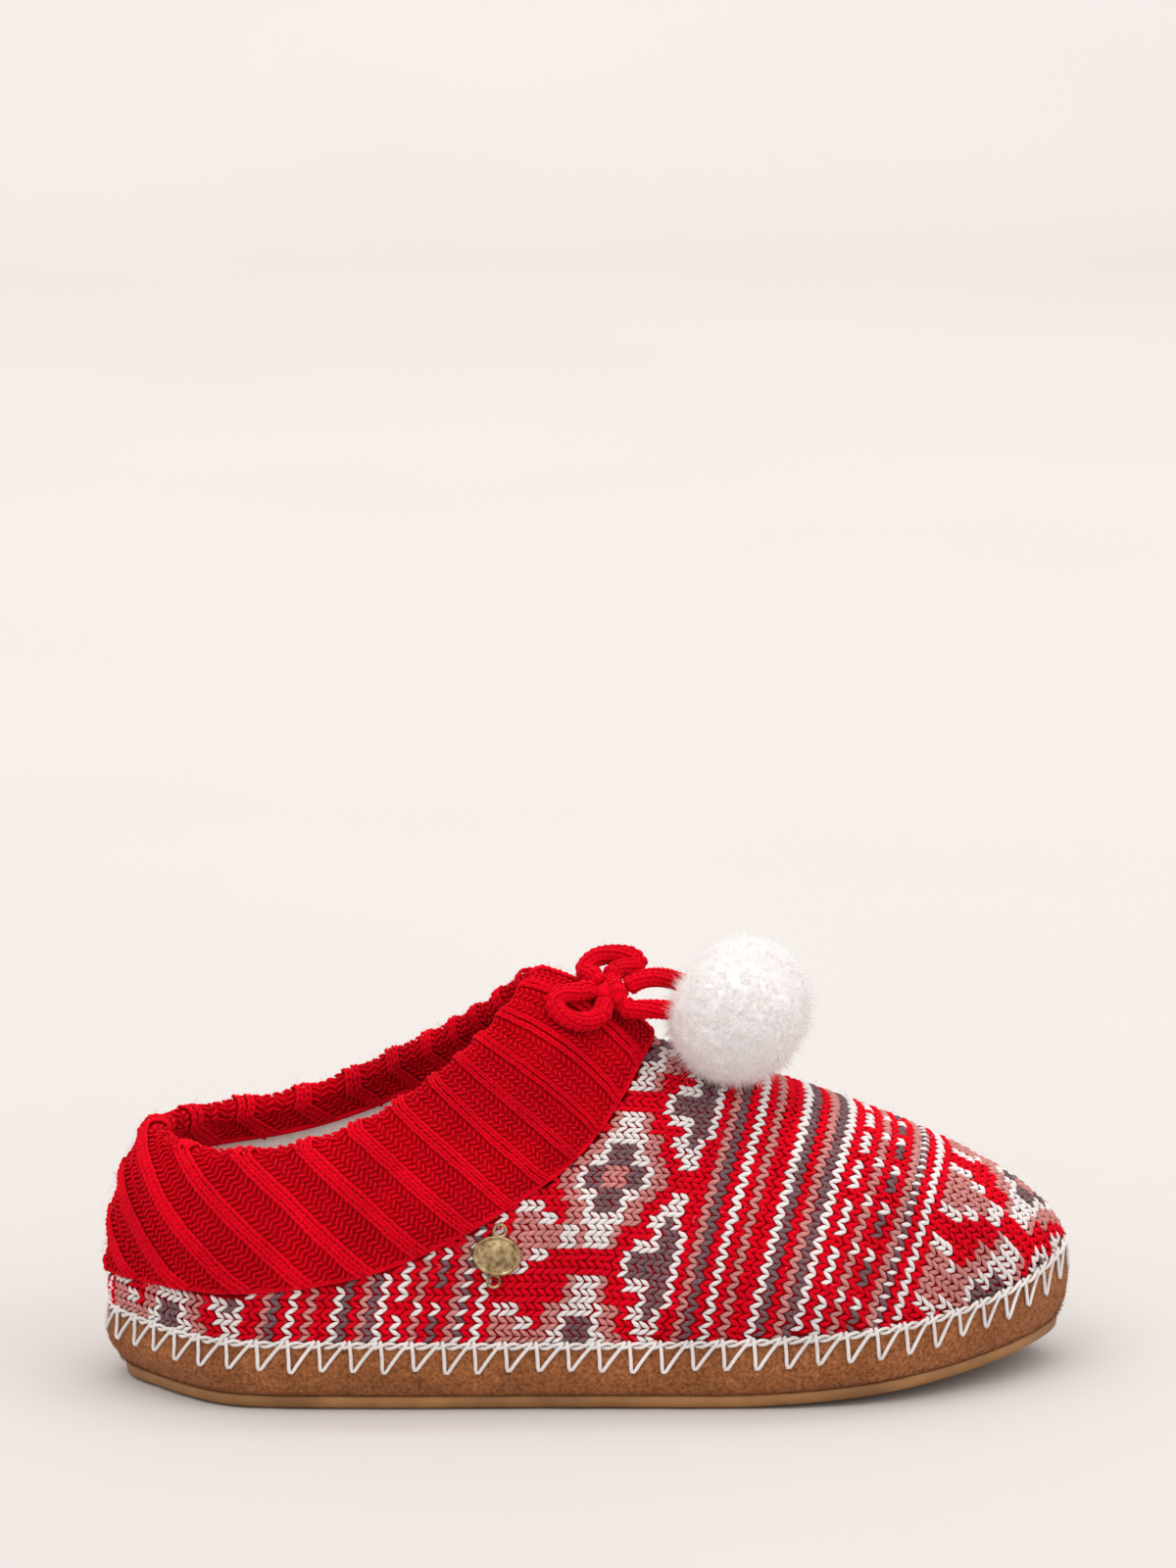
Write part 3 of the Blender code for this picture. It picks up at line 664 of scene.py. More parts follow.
def hairs(roots, normals, length, radius, spread, curl):
    """Fine pointed fibres that stand on the roots, of four faces each: points, faces and yarn vectors."""
    count = len(roots)
    lean = rng.normal(0, 1, (count, 3))
    lean = unit(lean - normals * np.sum(lean * normals, axis=1, keepdims=True))
    way = unit(normals + lean * rng.uniform(0, spread, (count, 1)) ** 1.2)
    bend = unit(rng.normal(0, 1, (count, 3)))
    length = length * rng.uniform(0.45, 1.3, (count, 1))
    side = unit(np.cross(way, bend))
    other = np.cross(way, side)
    blocks = [roots + (side * math.cos(turn) + other * math.sin(turn)) * radius for turn in circle_angles(3)]
    blocks.append(roots + way * length + bend * length * curl * 0.4)
    points = np.stack(blocks, axis=1)
    each = np.array([(0, 1, 3), (1, 2, 3), (2, 0, 3), (0, 2, 1)])
    faces = (each[None] + (np.arange(count) * 4)[:, None, None]).reshape(-1, 3).tolist()
    values = np.repeat(rng.uniform(-40, 40, (count, 1, 3)), 4, axis=1)
    return points.reshape(-1, 3), faces, values.reshape(-1, 3)


def frames_along(path):
    """Directions, and two square directions that turn as little as they can, at each point of a path."""
    ahead = unit(np.gradient(path, axis=0))
    side = np.cross(ahead[0], (0, 0, 1))
    sides = [side / np.linalg.norm(side)]
    for way in ahead[1:]:
        nearly = sides[-1] - way * np.dot(sides[-1], way)
        sides.append(nearly / np.linalg.norm(nearly))
    sides = np.array(sides)
    return ahead, sides, np.cross(ahead, sides)


def tube(path, radius, sides=8, closed=False):
    """A round strand along a path: points, faces and yarn vectors."""
    ahead, side, other = frames_along(path)
    angles = circle_angles(sides)
    ring = side[:, None, :] * np.cos(angles)[None, :, None] + other[:, None, :] * np.sin(angles)[None, :, None]
    points = path[:, None, :] + ring * radius
    length = distances(path)[:, None]
    turned = angles[None, :] + PLY_TURN * length
    along = np.broadcast_to(150 * length, turned.shape)
    yarn = np.stack([np.cos(turned), np.sin(turned), along], axis=-1) + rng.uniform(-40, 40, 3)
    points, yarn = points.reshape(-1, 3), yarn.reshape(-1, 3)
    faces = band_faces(len(path), sides, closed=closed)
    if not closed:
        reach = radius * 0.7
        faces += fan_faces(len(points), 0, len(points) + 1, (len(path) - 1) * sides, sides)
        points = np.concatenate([points, [path[0] - ahead[0] * reach, path[-1] + ahead[-1] * reach]])
        yarn = np.concatenate([yarn, yarn[[0, -1]]])
    return points, faces, yarn


def curve_through(points, count):
    """A smooth open run through a cord's points, at even steps."""
    p = np.asarray(points, float)
    n = len(p)
    slopes = np.gradient(p, axis=0)
    fine = np.linspace(0, n - 1, 40 * n)
    i = np.minimum(fine.astype(int), n - 2)
    run = cubic((fine - i)[:, None], p[i], p[i + 1], slopes[i], slopes[i + 1])
    length = distances(run)
    return sampled(np.linspace(0, length[-1], count), length, run)


def path_length(path):
    return float(np.sum(np.linalg.norm(np.diff(path, axis=0), axis=1)))


def waves(places, size):
    """A smooth unevenness of about -1 to 1 at each place; size is the width of its lumps."""
    count = 14
    total = np.zeros(len(places))
    for _ in range(count):
        way = unit(rng.normal(0, 1, 3)) * 2 * math.pi / (size * rng.uniform(0.7, 1.6))
        total += np.sin(places @ way + rng.uniform(0, 7))
    return total / math.sqrt(count)


def lofted(name, rings, finish, replaced=(), closed=False, yarn_size=None):
    """A solid through rings that each run heel, lateral, toe, medial. Where closed, the last joins the first."""
    n = len(rings[0])
    points = np.concatenate(rings)
    faces = band_faces(len(rings), n, closed=closed)
    if not closed:
        half = n // 2
        cap = [(0, 1, n - 1), (half - 1, half, half + 1)]
        cap += [(i, i + 1, n - i - 1, n - i) for i in range(1, half - 1)]
        faces += [face[::-1] for face in cap]
        faces += [[(len(rings) - 1) * n + i for i in face] for face in cap]
    return add_piece(name, points, faces, finish, points / yarn_size if yarn_size else None, replaced)


# The rubber and suede sole


def make_outsole():
    u = places_around(440)
    profile = [
        (-0.0300, 0.10),
        (-0.0200, 0.10),
        (-SOLE_TUCK - 0.0020, 0.06),
        (-SOLE_TUCK - 0.0004, 0.0),
        (-SOLE_TUCK, 0.06),
        (-SOLE_TUCK * 0.45, 0.26),
        (-FOXING_TUCK - 0.0001, 0.62),
        (-FOXING_TUCK, 0.92),
        (-FOXING_TUCK - 0.0005, 1.0),
    ]
    rings = []
    for out, rise in profile:
        ring = sole_ring(u, out, lambda x: spring(x) + rise * RUBBER, HEEL_TUCK)
        if out > -0.0035 and 0.1 < rise < 0.95:
            ring += sole_outward(u) * (waves(ring, 0.011) * 0.00012)[:, None]
        rings.append(ring)
    lofted("rubber_outsole", rings, GUM, ["outsole"])
    make_tread()


def make_tread():
    """Short bars across the underside, as moulded, a little proud of its recessed middle."""
    tails, heads = [], []
    margin, spacing = 0.0095, 0.0125
    u = np.linspace(0, SECTIONS, 240)
    lateral, medial = sole_seam(u), sole_seam(TURN - u)
    for row, x in enumerate(np.arange(0.012, 0.246, 0.0062)):
        low = np.interp(x, lateral[:, 0], lateral[:, 1]) + margin
        high = np.interp(x, medial[:, 0], medial[:, 1]) - margin
        count = max(0, int((high - low) / spacing))
        edges = np.linspace(low, high, count + 1)
        for i in range(count):
            shift = 0.0015 if row % 2 else -0.0015
            tails.append((x - shift, edges[i] + 0.0012, 0))
            heads.append((x + shift, edges[i + 1] - 0.0012, 0))
    tails, heads = np.array(tails), np.array(heads)
    for ends in (tails, heads):
        ends[:, 2] = spring(ends[:, 0]) + 0.10 * RUBBER
    down = np.tile((0.0, 0.0, -1.0), (len(tails), 1))
    points, faces, _ = leaves(tails, heads, down, 0.0013, 0.00030, 0.0, sides=8, rings=(0.06, 0.5, 0.94))
    add_piece("rubber_tread", points, faces, GUM)


def foxing_out(rise):
    """How far the suede stands out of the seam line, from its lower edge at 0 to its top edge at 1."""
    places = [0.0, 0.05, 0.14, 0.28, 0.42, 0.58, 0.75, 0.9, 1.0]
    reach = FOXING_BULGE + FOXING_TUCK
    shares = [0.0, 0.30, 0.55, 0.84, 1.0, 1.0, 0.85, 0.72]
    outs = [-FOXING_TUCK + reach * share for share in shares] + [FOXING_LIP]
    return np.interp(rise, places, outs)


def suede(u, rise):
    """The suede's outer face."""
    u = np.asarray(u, float)
    rise = np.broadcast_to(np.asarray(rise, float), u.shape)
    seam = sole_seam(u)
    outward = sole_outward(u)
    tuck = HEEL_TUCK * np.clip(-outward[:, 0], 0, 1) ** 2 * np.clip(1 - rise * 2.4, 0, 1)
    place = seam + outward * (foxing_out(rise) - tuck)[:, None]
    bottom = spring(place[:, 0]) + RUBBER + GAP
    place[:, 2] = bottom + (seam[:, 2] - bottom) * rise
    return place


def make_foxing():
    u = places_around(660)
    outward = sole_outward(u)
    rings = []
    for rise in np.concatenate([[0, 0.02, 0.06], np.linspace(0.12, 0.94, 16), [0.985, 1.0]]):
        ring = suede(u, rise)
        fade = min(1.0, rise / 0.06, (1 - rise) / 0.05) if 0 < rise < 1 else 0.0
        lumps = waves(ring, 0.009) * 0.00016 + waves(ring, 0.0026) * 0.00007
        ring = ring + outward * (lumps * fade)[:, None]
        rings.append(ring)
    seam = sole_seam(u)
    for out in (-0.002, -WALL - LEDGE_MARGIN):
        ring = seam + outward * out
        ring[:, 2] = seam[:, 2]
        rings.append(ring)
    rings.append(sole_ring(u, -WALL - LEDGE_MARGIN, lambda x: spring(x) + RUBBER + PLATFORM))
    lofted("suede_foxing", rings, SUEDE, ["foxing"])
    count = SUEDE_HAIRS
    places = rng.uniform(0, TURN, count)
    at_edge = rng.uniform(0, 1, count) < 0.55
    rises = np.where(at_edge, rng.uniform(0.0, 0.09, count), rng.uniform(0, 0.9, count))
    roots = suede(places, rises)
    normals = unit(sole_outward(places) + (0, 0, -0.25))
    points, faces, _ = hairs(roots, normals, 0.0009, 0.00007, 1.2, 0.4)
    add_piece("suede_fibres", points, faces, SUEDE)


def make_insole():
    u = places_around(352)
    edge = -WALL - LEDGE_MARGIN - GAP
    base = RUBBER + PLATFORM + GAP
    profile = [(0.0, 0.0), (0.0, 0.5), (-0.0006, 0.82), (-0.0018, 0.96)]
    rings = [sole_ring(u, edge + out, lambda x: spring(x) + base + rise * INSOLE) for out, rise in profile]
    rim = sole_ring(u, edge - 0.0035, lambda x: spring(x) + base + INSOLE)
    axis = rim * (1, 0, 1)
    axis[:, 1] = np.interp(rim[:, 0], (0, SEAM_LENGTH), (0, 0.003))
    for share in np.linspace(0, 1, 26)[:-1]:
        ring = rim + (axis - rim) * share
        tufts = waves(ring, 0.008) * 0.00022 + waves(ring, 0.0034) * 0.00018
        ring[:, 2] += tufts * min(1.0, share * 8) - 0.0002
        rings.append(ring)
    lofted("fleece_footbed", rings, FLEECE, ["insole"])


# The jacquard shell


def make_ground():
    """The knit ground under the stitches, and the fleece that lines it."""
    u = places_around(400)
    rings = [under_shell(u, t, 0.0005) for t in np.linspace(0, 1, 26)]
    rings[0][:, 2] += GAP
    rings += [under_shell(u, t, LINING_DEPTH) for t in (1.0, 0.9, 0.5, 0.0)]
    # The ground's darker red is painted shade under the stitches.
    lofted("jacquard_ground", rings, RED_GROUND_PAINTED_SHADE, ["upper"], True, GROUND_SIZE)
    rings = [under_shell(u, t, LINING_DEPTH + 0.0001) for t in (0.0, 0.5, 0.97)]
    for t in np.linspace(1, 0, 34):
        ring = shell(u, t)
        tufts = waves(ring, 0.0075) * 0.00022 + waves(ring, 0.0031) * 0.00020
        depth = WALL - 0.0002 + np.clip(tufts, -0.0005, 0.0003)
        rings.append(ring - outward_of(shell, u, t) * depth[:, None])
    lofted("fleece_lining", rings, FLEECE, closed=True)


def row_field(side, u, t):
    """The chart's row number on a grid of places of one side, with u running from heel to toe."""
    around = on_side(u, side)
    places = np.stack([shell(around, q) for q in t], axis=1)
    steps = np.linalg.norm(np.diff(places, axis=0), axis=2)
    run = np.concatenate([np.zeros((1, len(t))), np.cumsum(steps, axis=0)])
    turn = int(np.searchsorted(u, 4.0))  # behind this section the rows follow the way around the heel
    along = places[:, :, 0].copy()
    along[:turn] = places[turn, :, 0] - (run[turn] - run[:turn])
    x, y, z = places[..., 0], places[..., 1], places[..., 2]
    seam, ridge = places[:, 0], places[-1, ::-1]
    seam_y, seam_z = (np.interp(x, seam[:, 0], seam[:, k]) for k in (1, 2))
    ridge_y, ridge_z = (np.interp(x, ridge[:, 0], ridge[:, k]) for k in (1, 2))
    tall = np.maximum(ridge_z - seam_z, 0.006)
    wide = np.maximum(np.abs(seam_y - ridge_y), 0.008)
    share = 2 / math.pi * np.arctan2(np.maximum(z - seam_z, 0) / tall, np.abs(y - ridge_y) / wide)
    lean = np.interp(along, LEAN_ALONG, LEAN) * np.sin(math.pi / 2 * share**1.2)
    more = 40  # rows charted past the first and the last
    rows = [ROWS[0] - more, *ROWS, ROWS[-1] + more]
    starts = [ROWS_ALONG[0] - more * REAR_PITCH, *ROWS_ALONG, ROWS_ALONG[-1] + more * FRONT_PITCH]
    return np.interp(along - lean, starts, rows)


def row_places(row, field, u, t):
    """The places of one chart row, from the seam up, and whether it runs to the ridge of the vamp."""
    places = [(float(np.interp(row, field[:, 0], u)), 0.0)] if row >= field[0, 0] else []
    for i in range(len(u)):
        if field[i, 0] < row:
            continue
        if field[i, -1] > row:
            break
        places.append((u[i], float(np.interp(row, field[i, ::-1], t[::-1]))))
    else:
        return places, True
    if i > 0:
        share = (row - field[i - 1, -1]) / (field[i, -1] - field[i - 1, -1])
        if 0 <= share <= 1:
            places.append((u[i - 1] + share * (u[i] - u[i - 1]), 1.0))
    return places, False


def row_lines(side):
    """For each chart row of one side, its wale counts in rising order, and the places and points at each."""
    u, t = np.linspace(0, SECTIONS, 661), np.linspace(0, 1, 81)
    field = row_field(side, u, t)
    lines = {}
    for row in range(math.ceil(field[0, 0]) - 6, math.floor(field[-1, 0])):
        places, at_ridge = row_places(row, field, u, t)
        if len(places) < 3:
            continue
        us, ts = np.array(places).T
        points = shell(on_side(us, side), ts)
        run = distances(points)
        keep = np.concatenate([[True], np.diff(run) > 1e-7])
        lines[row] = (us[keep], ts[keep], points[keep], run[keep], at_ridge)
    first_ridge = min(row for row, line in lines.items() if line[4])
    reach = lines[first_ridge][3][-1]
    result = {}
    for row, (us, ts, points, run, at_ridge) in lines.items():
        top = run[-1] if at_ridge else reach
        counts = np.interp(top - run, [-0.02, 0.0, *WALES_FROM_RIDGE], [-6.03, 0.0, *WALE_COUNTS])
        counts = side * counts - MOTIF_MIDDLE
        order = np.argsort(counts)
        result[row] = (counts[order], us[order], ts[order], points[order])
    return result


def chart_letter(row, wale):
    """The colour of a stitch. The chart repeats at every 48th row, and its motifs at every 14th wale."""
    past = 0 if row >= CYCLE else 4  # the rear's motif C stands between the front's
    row = row % CYCLE
    if row in PEERIES:
        letters = PEERIES[row]
        return letters[(wale + PEERIE_SHIFT) % len(letters)]
    if row < len(BANDS):
        return BANDS[row]
    from_b = min(wale % REPEAT, REPEAT - 1 - wale % REPEAT)
    from_a = len(MOTIF_B) - 1 - from_b
    from_c = min((wale + past) % 8, 7 - (wale + past) % 8)
    motifs = [(MOTIF_A_ROW, MOTIF_A[from_a]), (MOTIF_B_ROW, MOTIF_B[from_b]), (MOTIF_C_ROW, MOTIF_C[from_c])]
    for first, letters in motifs:
        if first <= row < first + len(letters) and letters[row - first] != "R":
            return letters[row - first]
    return "R"


def jacquard_stitches(side):
    """The middle, the direction outward, the steps across and along, and the letter of one side's stitches."""
    spots = row_lines(side)
    found = []
    for row, (counts, *_) in spots.items():
        for wale in range(math.floor(counts[0]), math.ceil(counts[-1])):
            if counts[0] - 0.15 <= wale + 0.5 <= counts[-1] + 0.15:
                found.append((row, wale))
    rows, wales = np.array(found).T

    def at(row_numbers, counts):
        place = np.full((len(row_numbers), 3), np.nan)
        for row in np.unique(row_numbers):
            if row in spots:
                known, _, _, points = spots[row]
                inside = (row_numbers == row) & (counts >= known[0] - 0.3) & (counts <= known[-1] + 0.3)
                place[inside] = sampled(counts[inside], known, points)
        return place

    middle = wales + 0.5
    u, t = np.zeros(len(rows)), np.zeros(len(rows))
    for row in np.unique(rows):
        mask = rows == row
        counts, us, ts, _ = spots[row]
        u[mask] = np.interp(middle[mask], counts, us)
        t[mask] = np.interp(middle[mask], counts, ts)
    around = on_side(u, side)
    centre = shell(around, t)
    normal = outward_of(shell, np.clip(around, 0.002, TURN), np.clip(t, 0.004, 0.996))

    # Across to the next wale. At the end of a row only one neighbour is known.
    low, high = at(rows, middle - 0.4), at(rows, middle + 0.4)
    across = np.where(np.isnan(low) | np.isnan(high), 0, high - low) / 0.8
    lost = np.linalg.norm(across, axis=1) < 0.001
    beside = at(rows, middle + 0.3) - centre
    beside = np.where(np.isnan(beside), centre - at(rows, middle - 0.3), beside) / 0.3
    across = np.where(lost[:, None], np.nan_to_num(beside), across)

    # Along to the next row. Where that is missing or odd, the step is the chart's pitch, square to the row.
    turned = unit(np.cross(normal, across))
    toeward = turned * np.sign(turned[:, :1] + 1e-9)
    ahead, behind = at(rows + 1, middle), at(rows - 1, middle)
    step = np.where(np.isnan(ahead), centre - behind, ahead - centre)
    step = np.where(np.isnan(ahead) | np.isnan(behind), step, (ahead - behind) / 2)
    length = np.linalg.norm(np.nan_to_num(step), axis=1)
    odd = np.isnan(step).any(axis=1) | (length < 0.0013) | (length > 0.0036)
    step = np.where(odd[:, None], toeward * REAR_PITCH, step)
    step -= normal * np.sum(step * normal, axis=1, keepdims=True)
    return centre, normal, across, step, np.array([chart_letter(row, wale) for row, wale in found])


def make_jacquard():
    """Each stitch is a V of two arms of yarn, open to the heel, that reaches into its neighbours' rows."""
    sides = [jacquard_stitches(side) for side in (1, -1)]
    centre, normal, across, step, letters = (np.concatenate(pair) for pair in zip(*sides))
    groups = {letter: [] for letter in YARNS}
    loose = rng.normal(0, 0.00009, centre.shape)
    swell = rng.uniform(0.9, 1.1, len(centre))
    tilt = rng.uniform(0.9, 1.08, (len(centre), 1))
    for side in (1, -1):
        arm = np.where(letters == "M", "W" if side > 0 else "G", letters)
        tails = centre - step * 0.60 * tilt + across * (side * 0.54) - normal * 0.00034 + loose
        heads = centre + step * 0.92 * tilt - across * (side * 0.02) - normal * 0.00040 + loose
        for letter, group in groups.items():
            mask = arm == letter
            width, depth = 0.00070 * swell[mask], 0.00056 * swell[mask]
            group.append(leaves(tails[mask], heads[mask], normal[mask], width, depth, 0.00058, blunt=0.8))
    names = {"R": "stitches_red", "W": "stitches_white", "P": "stitches_pink", "G": "stitches_grey"}
    for letter, name in names.items():
        points, faces, yarn = joined(groups[letter])
        add_piece(name, points, faces, YARNS[letter], yarn)
    print("jacquard stitches", len(centre))
    return centre, normal, letters


# The ribbed cuff


def ribs_at(t):
    """The ribs between the bow and each section, at t up the cuff."""
    return np.array(RIBS_AT_SEAM) * (1 - t) + np.array(RIBS_AT_RIM) * t


def wale_sections(rib, shares):
    """The sections where a wale passes, at shares of the way up the cuff."""
    return np.array([np.interp(rib, ribs_at(t), np.arange(SECTIONS + 1)) for t in shares])


def wale_line(side, rib):
    """One wale of the cuff, up its outside, over the rim and down to the inside hem: points, outward, share."""
    t = np.linspace(0, 1, 61)
    inside = rib >= np.array([ribs_at(q)[0] for q in t])
    around = on_side(wale_sections(rib, t), side)
    outward = cuff_outward(around, t)
    outer = cuff_face(around, t)
    if not inside[-1]:
        return outer[inside], outward[inside], t[inside]
    raised = math.cos(2 * math.pi * rib)

    angles = np.linspace(0, math.pi, 11)[1:-1]
    rim_u = np.repeat(around[-1:], len(angles))
    rim = cuff_middle(rim_u, 1.0)
    up = unit(rim - cuff_middle(rim_u, 0.98))
    way = cuff_outward(rim_u, 1.0) * np.cos(angles)[:, None] + up * np.sin(angles)[:, None]
    arc = rim + way * (cuff_half(1.0) + RELIEF_SHOWN * raised * np.cos(angles / 2) ** 2)[:, None]

    down = np.linspace(1, HEM_SHOWN, 18)
    down = down[rib >= np.array([ribs_at(q)[0] for q in down])]
    around = on_side(wale_sections(rib, down), side)
    reach = cuff_half(down) + HEM_STEP - HEM_STEP * down + 0.0003 * raised
    points = np.concatenate([outer[inside], arc, off_cuff(around, down, -reach)])
    normals = np.concatenate([outward[inside], way, -cuff_outward(around, down)])
    return points, normals, np.concatenate([t[inside], np.ones(len(angles)), 2 - down])


def cuff_stitches():
    """The middle, direction outward, step across, step up and hand of each stitch of the cuff, knit and purl."""
    knit, purl = [], []
    top = RIBS_AT_SEAM[-1]
    count = int((top - RIBS_AT_SEAM[0]) * RIB_WALES)
    for side in (1, -1):
        for wale in range(count + 1):
            rib = top - (wale + 0.5) / RIB_WALES
            points, normals, share = wale_line(side, rib)
            if len(points) < 4:
                continue
            run = distances(points)
            places = np.arange(COURSE * 0.7, run[-1] - COURSE * 0.3, COURSE)
            if len(places) < 2:
                continue
            centre, outward = sampled(places, run, points), sampled(places, run, normals)
            near = unit(np.gradient(centre, axis=0)) * COURSE
            across = unit(np.cross(near, outward)) * wale_width(rib, np.interp(places, run, share))[:, None]
            hand = np.full((len(near), 1), 1.0 if wale % 2 else -1.0)
            target = knit if abs((rib + 0.25) % 1 - 0.25) < KNIT_SHARE else purl
            target.append((centre, unit(outward), across, near, hand))
    return [tuple(np.concatenate(parts) for parts in zip(*group)) for group in (knit, purl)]


def wale_width(rib, shares):
    """How wide a wale is at each share of its way up."""
    sections = np.linspace(0, SECTIONS, 111)
    foot, rim = (closed_curve(points, sections)[:, :2] for points in (FOOT_LOOP, RIM_LOOP))
    edges = (rib - 0.5 / RIB_WALES, rib + 0.5 / RIB_WALES)
    width = []
    for t in np.minimum(shares, 2 - shares):
        low, high = sampled(wale_sections(edges, [t])[0], sections, foot * (1 - t) + rim * t)
        width.append(np.linalg.norm(low - high))
    return np.clip(width, 0.0011, 0.0024)


def make_cuff_ground():
    """The knit ground under the cuff's stitches: up its outside, over the rim and down inside to its foot."""
    columns = places_around(480)
    side = SECTIONS - np.abs(columns - SECTIONS)
    lean = 1.3 * np.tanh(side / 1.2) * np.tanh((SECTIONS - side) / 3.0)
    rings = []
    for t in np.linspace(0, 0.97, 22):
        u = columns + np.sign(SECTIONS - columns) * lean * (1 - t)
        rings.append(cuff_face(u, t) - cuff_outward(u, t) * CUFF_GROUND_DEPTH)
    rim, out = cuff_middle(columns, 1.0), cuff_outward(columns, 1.0)
    up = unit(rim - cuff_middle(columns, 0.98))
    relief = RELIEF_SHOWN * np.cos(2 * math.pi * rib_count(columns, 1.0))[:, None]
    for turn in np.linspace(0, math.pi, 9):
        reach = cuff_half(1.0) - CUFF_GROUND_DEPTH + relief * math.cos(turn / 2) ** 2
        rings.append(rim + (out * math.cos(turn) + up * math.sin(turn)) * reach)
    for t in (0.9, 0.8, HEM_SHOWN, HEM_SHOWN - 0.02, 0.3, 0.0):
        hem = HEM_STEP if t >= HEM_SHOWN else 0.0
        rings.append(off_cuff(columns, t, -(cuff_half(t) + hem - HEM_STEP * t - CUFF_GROUND_DEPTH)))
    # The ground's darker red is painted shade under the stitches.
    lofted("cuff_ground", rings, RED_GROUND_PAINTED_SHADE, ["cuff"], True, GROUND_SIZE)


def make_cuff():
    """The cuff's ground, its knit and purl stitches and its edges. Gives the stitches' places and directions."""
    make_cuff_ground()
    knit, purl = cuff_stitches()
    centre, normal, across, near, _ = knit
    loose = rng.normal(0, 0.00006, centre.shape)
    groups = []
    for side in (1, -1):
        tails = centre + near * 0.86 + across * (side * 0.38) + normal * 0.00010 + loose
        heads = centre - near * 0.86 + across * (side * 0.14) + normal * 0.00016 + loose
        swell = rng.uniform(0.9, 1.12, len(centre))
        width = np.linalg.norm(across, axis=1) * 0.27 * swell
        groups.append(leaves(tails, heads, normal, width, 0.00050 * swell, 0.00042))
    points, faces, yarn = joined(groups)
    add_piece("cuff_knit_stitches", points, faces, RED, yarn)

    centre, normal, across, near, hand = purl
    loose = rng.normal(0, 0.00008, centre.shape)
    half = across * 0.60 + near * hand * 0.48
    sunk = centre - normal * 0.00022 + loose
    points, faces, yarn = leaves(sunk - half, sunk + half, normal, 0.00043, 0.00052, 0.00046, rings=(0.24, 0.76))
    add_piece("cuff_purl_stitches", points, faces, RED, yarn)

    around = places_around(420)
    edge = cuff_face(around, 0.012) - cuff_outward(around, 0.012) * 0.00070
    hem = off_cuff(around, HEM_SHOWN, -(cuff_half(HEM_SHOWN) + HEM_STEP * (1 - HEM_SHOWN) - 0.0001))
    points, faces, yarn = joined([tube(line, 0.00080, closed=True) for line in (edge, hem)])
    add_piece("cuff_edges", points, faces, RED, yarn)
    make_fleece_collar()
    print("cuff stitches", len(knit[0]), len(purl[0]))
    return np.concatenate([knit[0], purl[0]]), np.concatenate([knit[1], purl[1]])


def make_fleece_collar():
    """The fleece that runs up inside the cuff to its hem."""
    columns = places_around(360)
    top = HEM_SHOWN + 0.01
    rings = [off_cuff(columns, t, -(cuff_half(t) - HEM_STEP * t - 0.0005)) for t in (0.0, 0.35, top)]
    for t in np.linspace(top, 0, 24):
        tufts = waves(cuff_middle(columns, t), 0.0035) * 0.00018
        rings.append(off_cuff(columns, t, -(cuff_half(t) - HEM_STEP * t + 0.0007 + tufts)))
    lofted("fleece_collar", rings, FLEECE, closed=True)


def make_fuzz(cuff_places, cuff_normals, shell_places, shell_normals, letters):
    """Loose fibres on the cuff's and the shell's stitches."""
    pick = rng.integers(0, len(cuff_places), CUFF_HAIRS)
    roots = cuff_places[pick] + rng.normal(0, 0.0007, (len(pick), 3))
    points, faces, yarn = hairs(roots, cuff_normals[pick], 0.0017, 0.000034, 1.8, 1.3)
    add_piece("cuff_fuzz", points, faces, RED, yarn)
    pick = rng.integers(0, len(shell_places), SHELL_HAIRS)
    for letter, name in (("R", "fuzz_red"), ("W", "fuzz_white")):
        chosen = pick[(letters[pick] == "R") == (letter == "R")]
        roots = shell_places[chosen] + rng.normal(0, 0.0008, (len(chosen), 3))
        points, faces, yarn = hairs(roots, shell_normals[chosen], 0.0018, 0.000036, 1.8, 1.2)
        add_piece(name, points, faces, YARNS[letter], yarn)


# The whip stitch around the seam


def seam_track(u):
    """The line that the chain lies on, just above the suede's edge."""
    return sole_seam(u) + sole_outward(u) * 0.0010 + (0, 0, -0.0004)


def make_chain():
    """A two-ply chain around the seam, and a slanted thread at each of its knots."""
    u = np.linspace(0, TURN, 4001)
    run = distances(seam_track(u))
    knots = int(round(run[-1] / CHAIN_STEP))
    even = np.linspace(0, run[-1], knots * 14 + 1)[:-1]
    around = np.interp(even, run, u)
    centre, out = seam_track(around), sole_outward(around)
    groups = []
    for ply in (0, math.pi):
        turn = even / run[-1] * knots * 2 * math.pi + ply
        strand = centre + out * (0.00052 * np.cos(turn))[:, None]
        strand[:, 2] += 0.00062 * np.sin(turn)
        strand += rng.normal(0, 0.00004, strand.shape)
        groups.append(tube(strand, THREAD * 0.48, 6, closed=True))
    points, faces, yarn = joined(groups)
    add_piece("whip_chain", points, faces, THREAD_WHITE, yarn)
    starts = np.interp(np.arange(knots) * run[-1] / knots, run, u)
    ends = np.interp((np.arange(knots) + 0.86) * run[-1] / knots, run, u)
    points, faces, yarn = joined([whip_leg(start, end) for start, end in zip(starts, ends)])
    add_piece("whip_legs", points, faces, THREAD_WHITE, yarn)


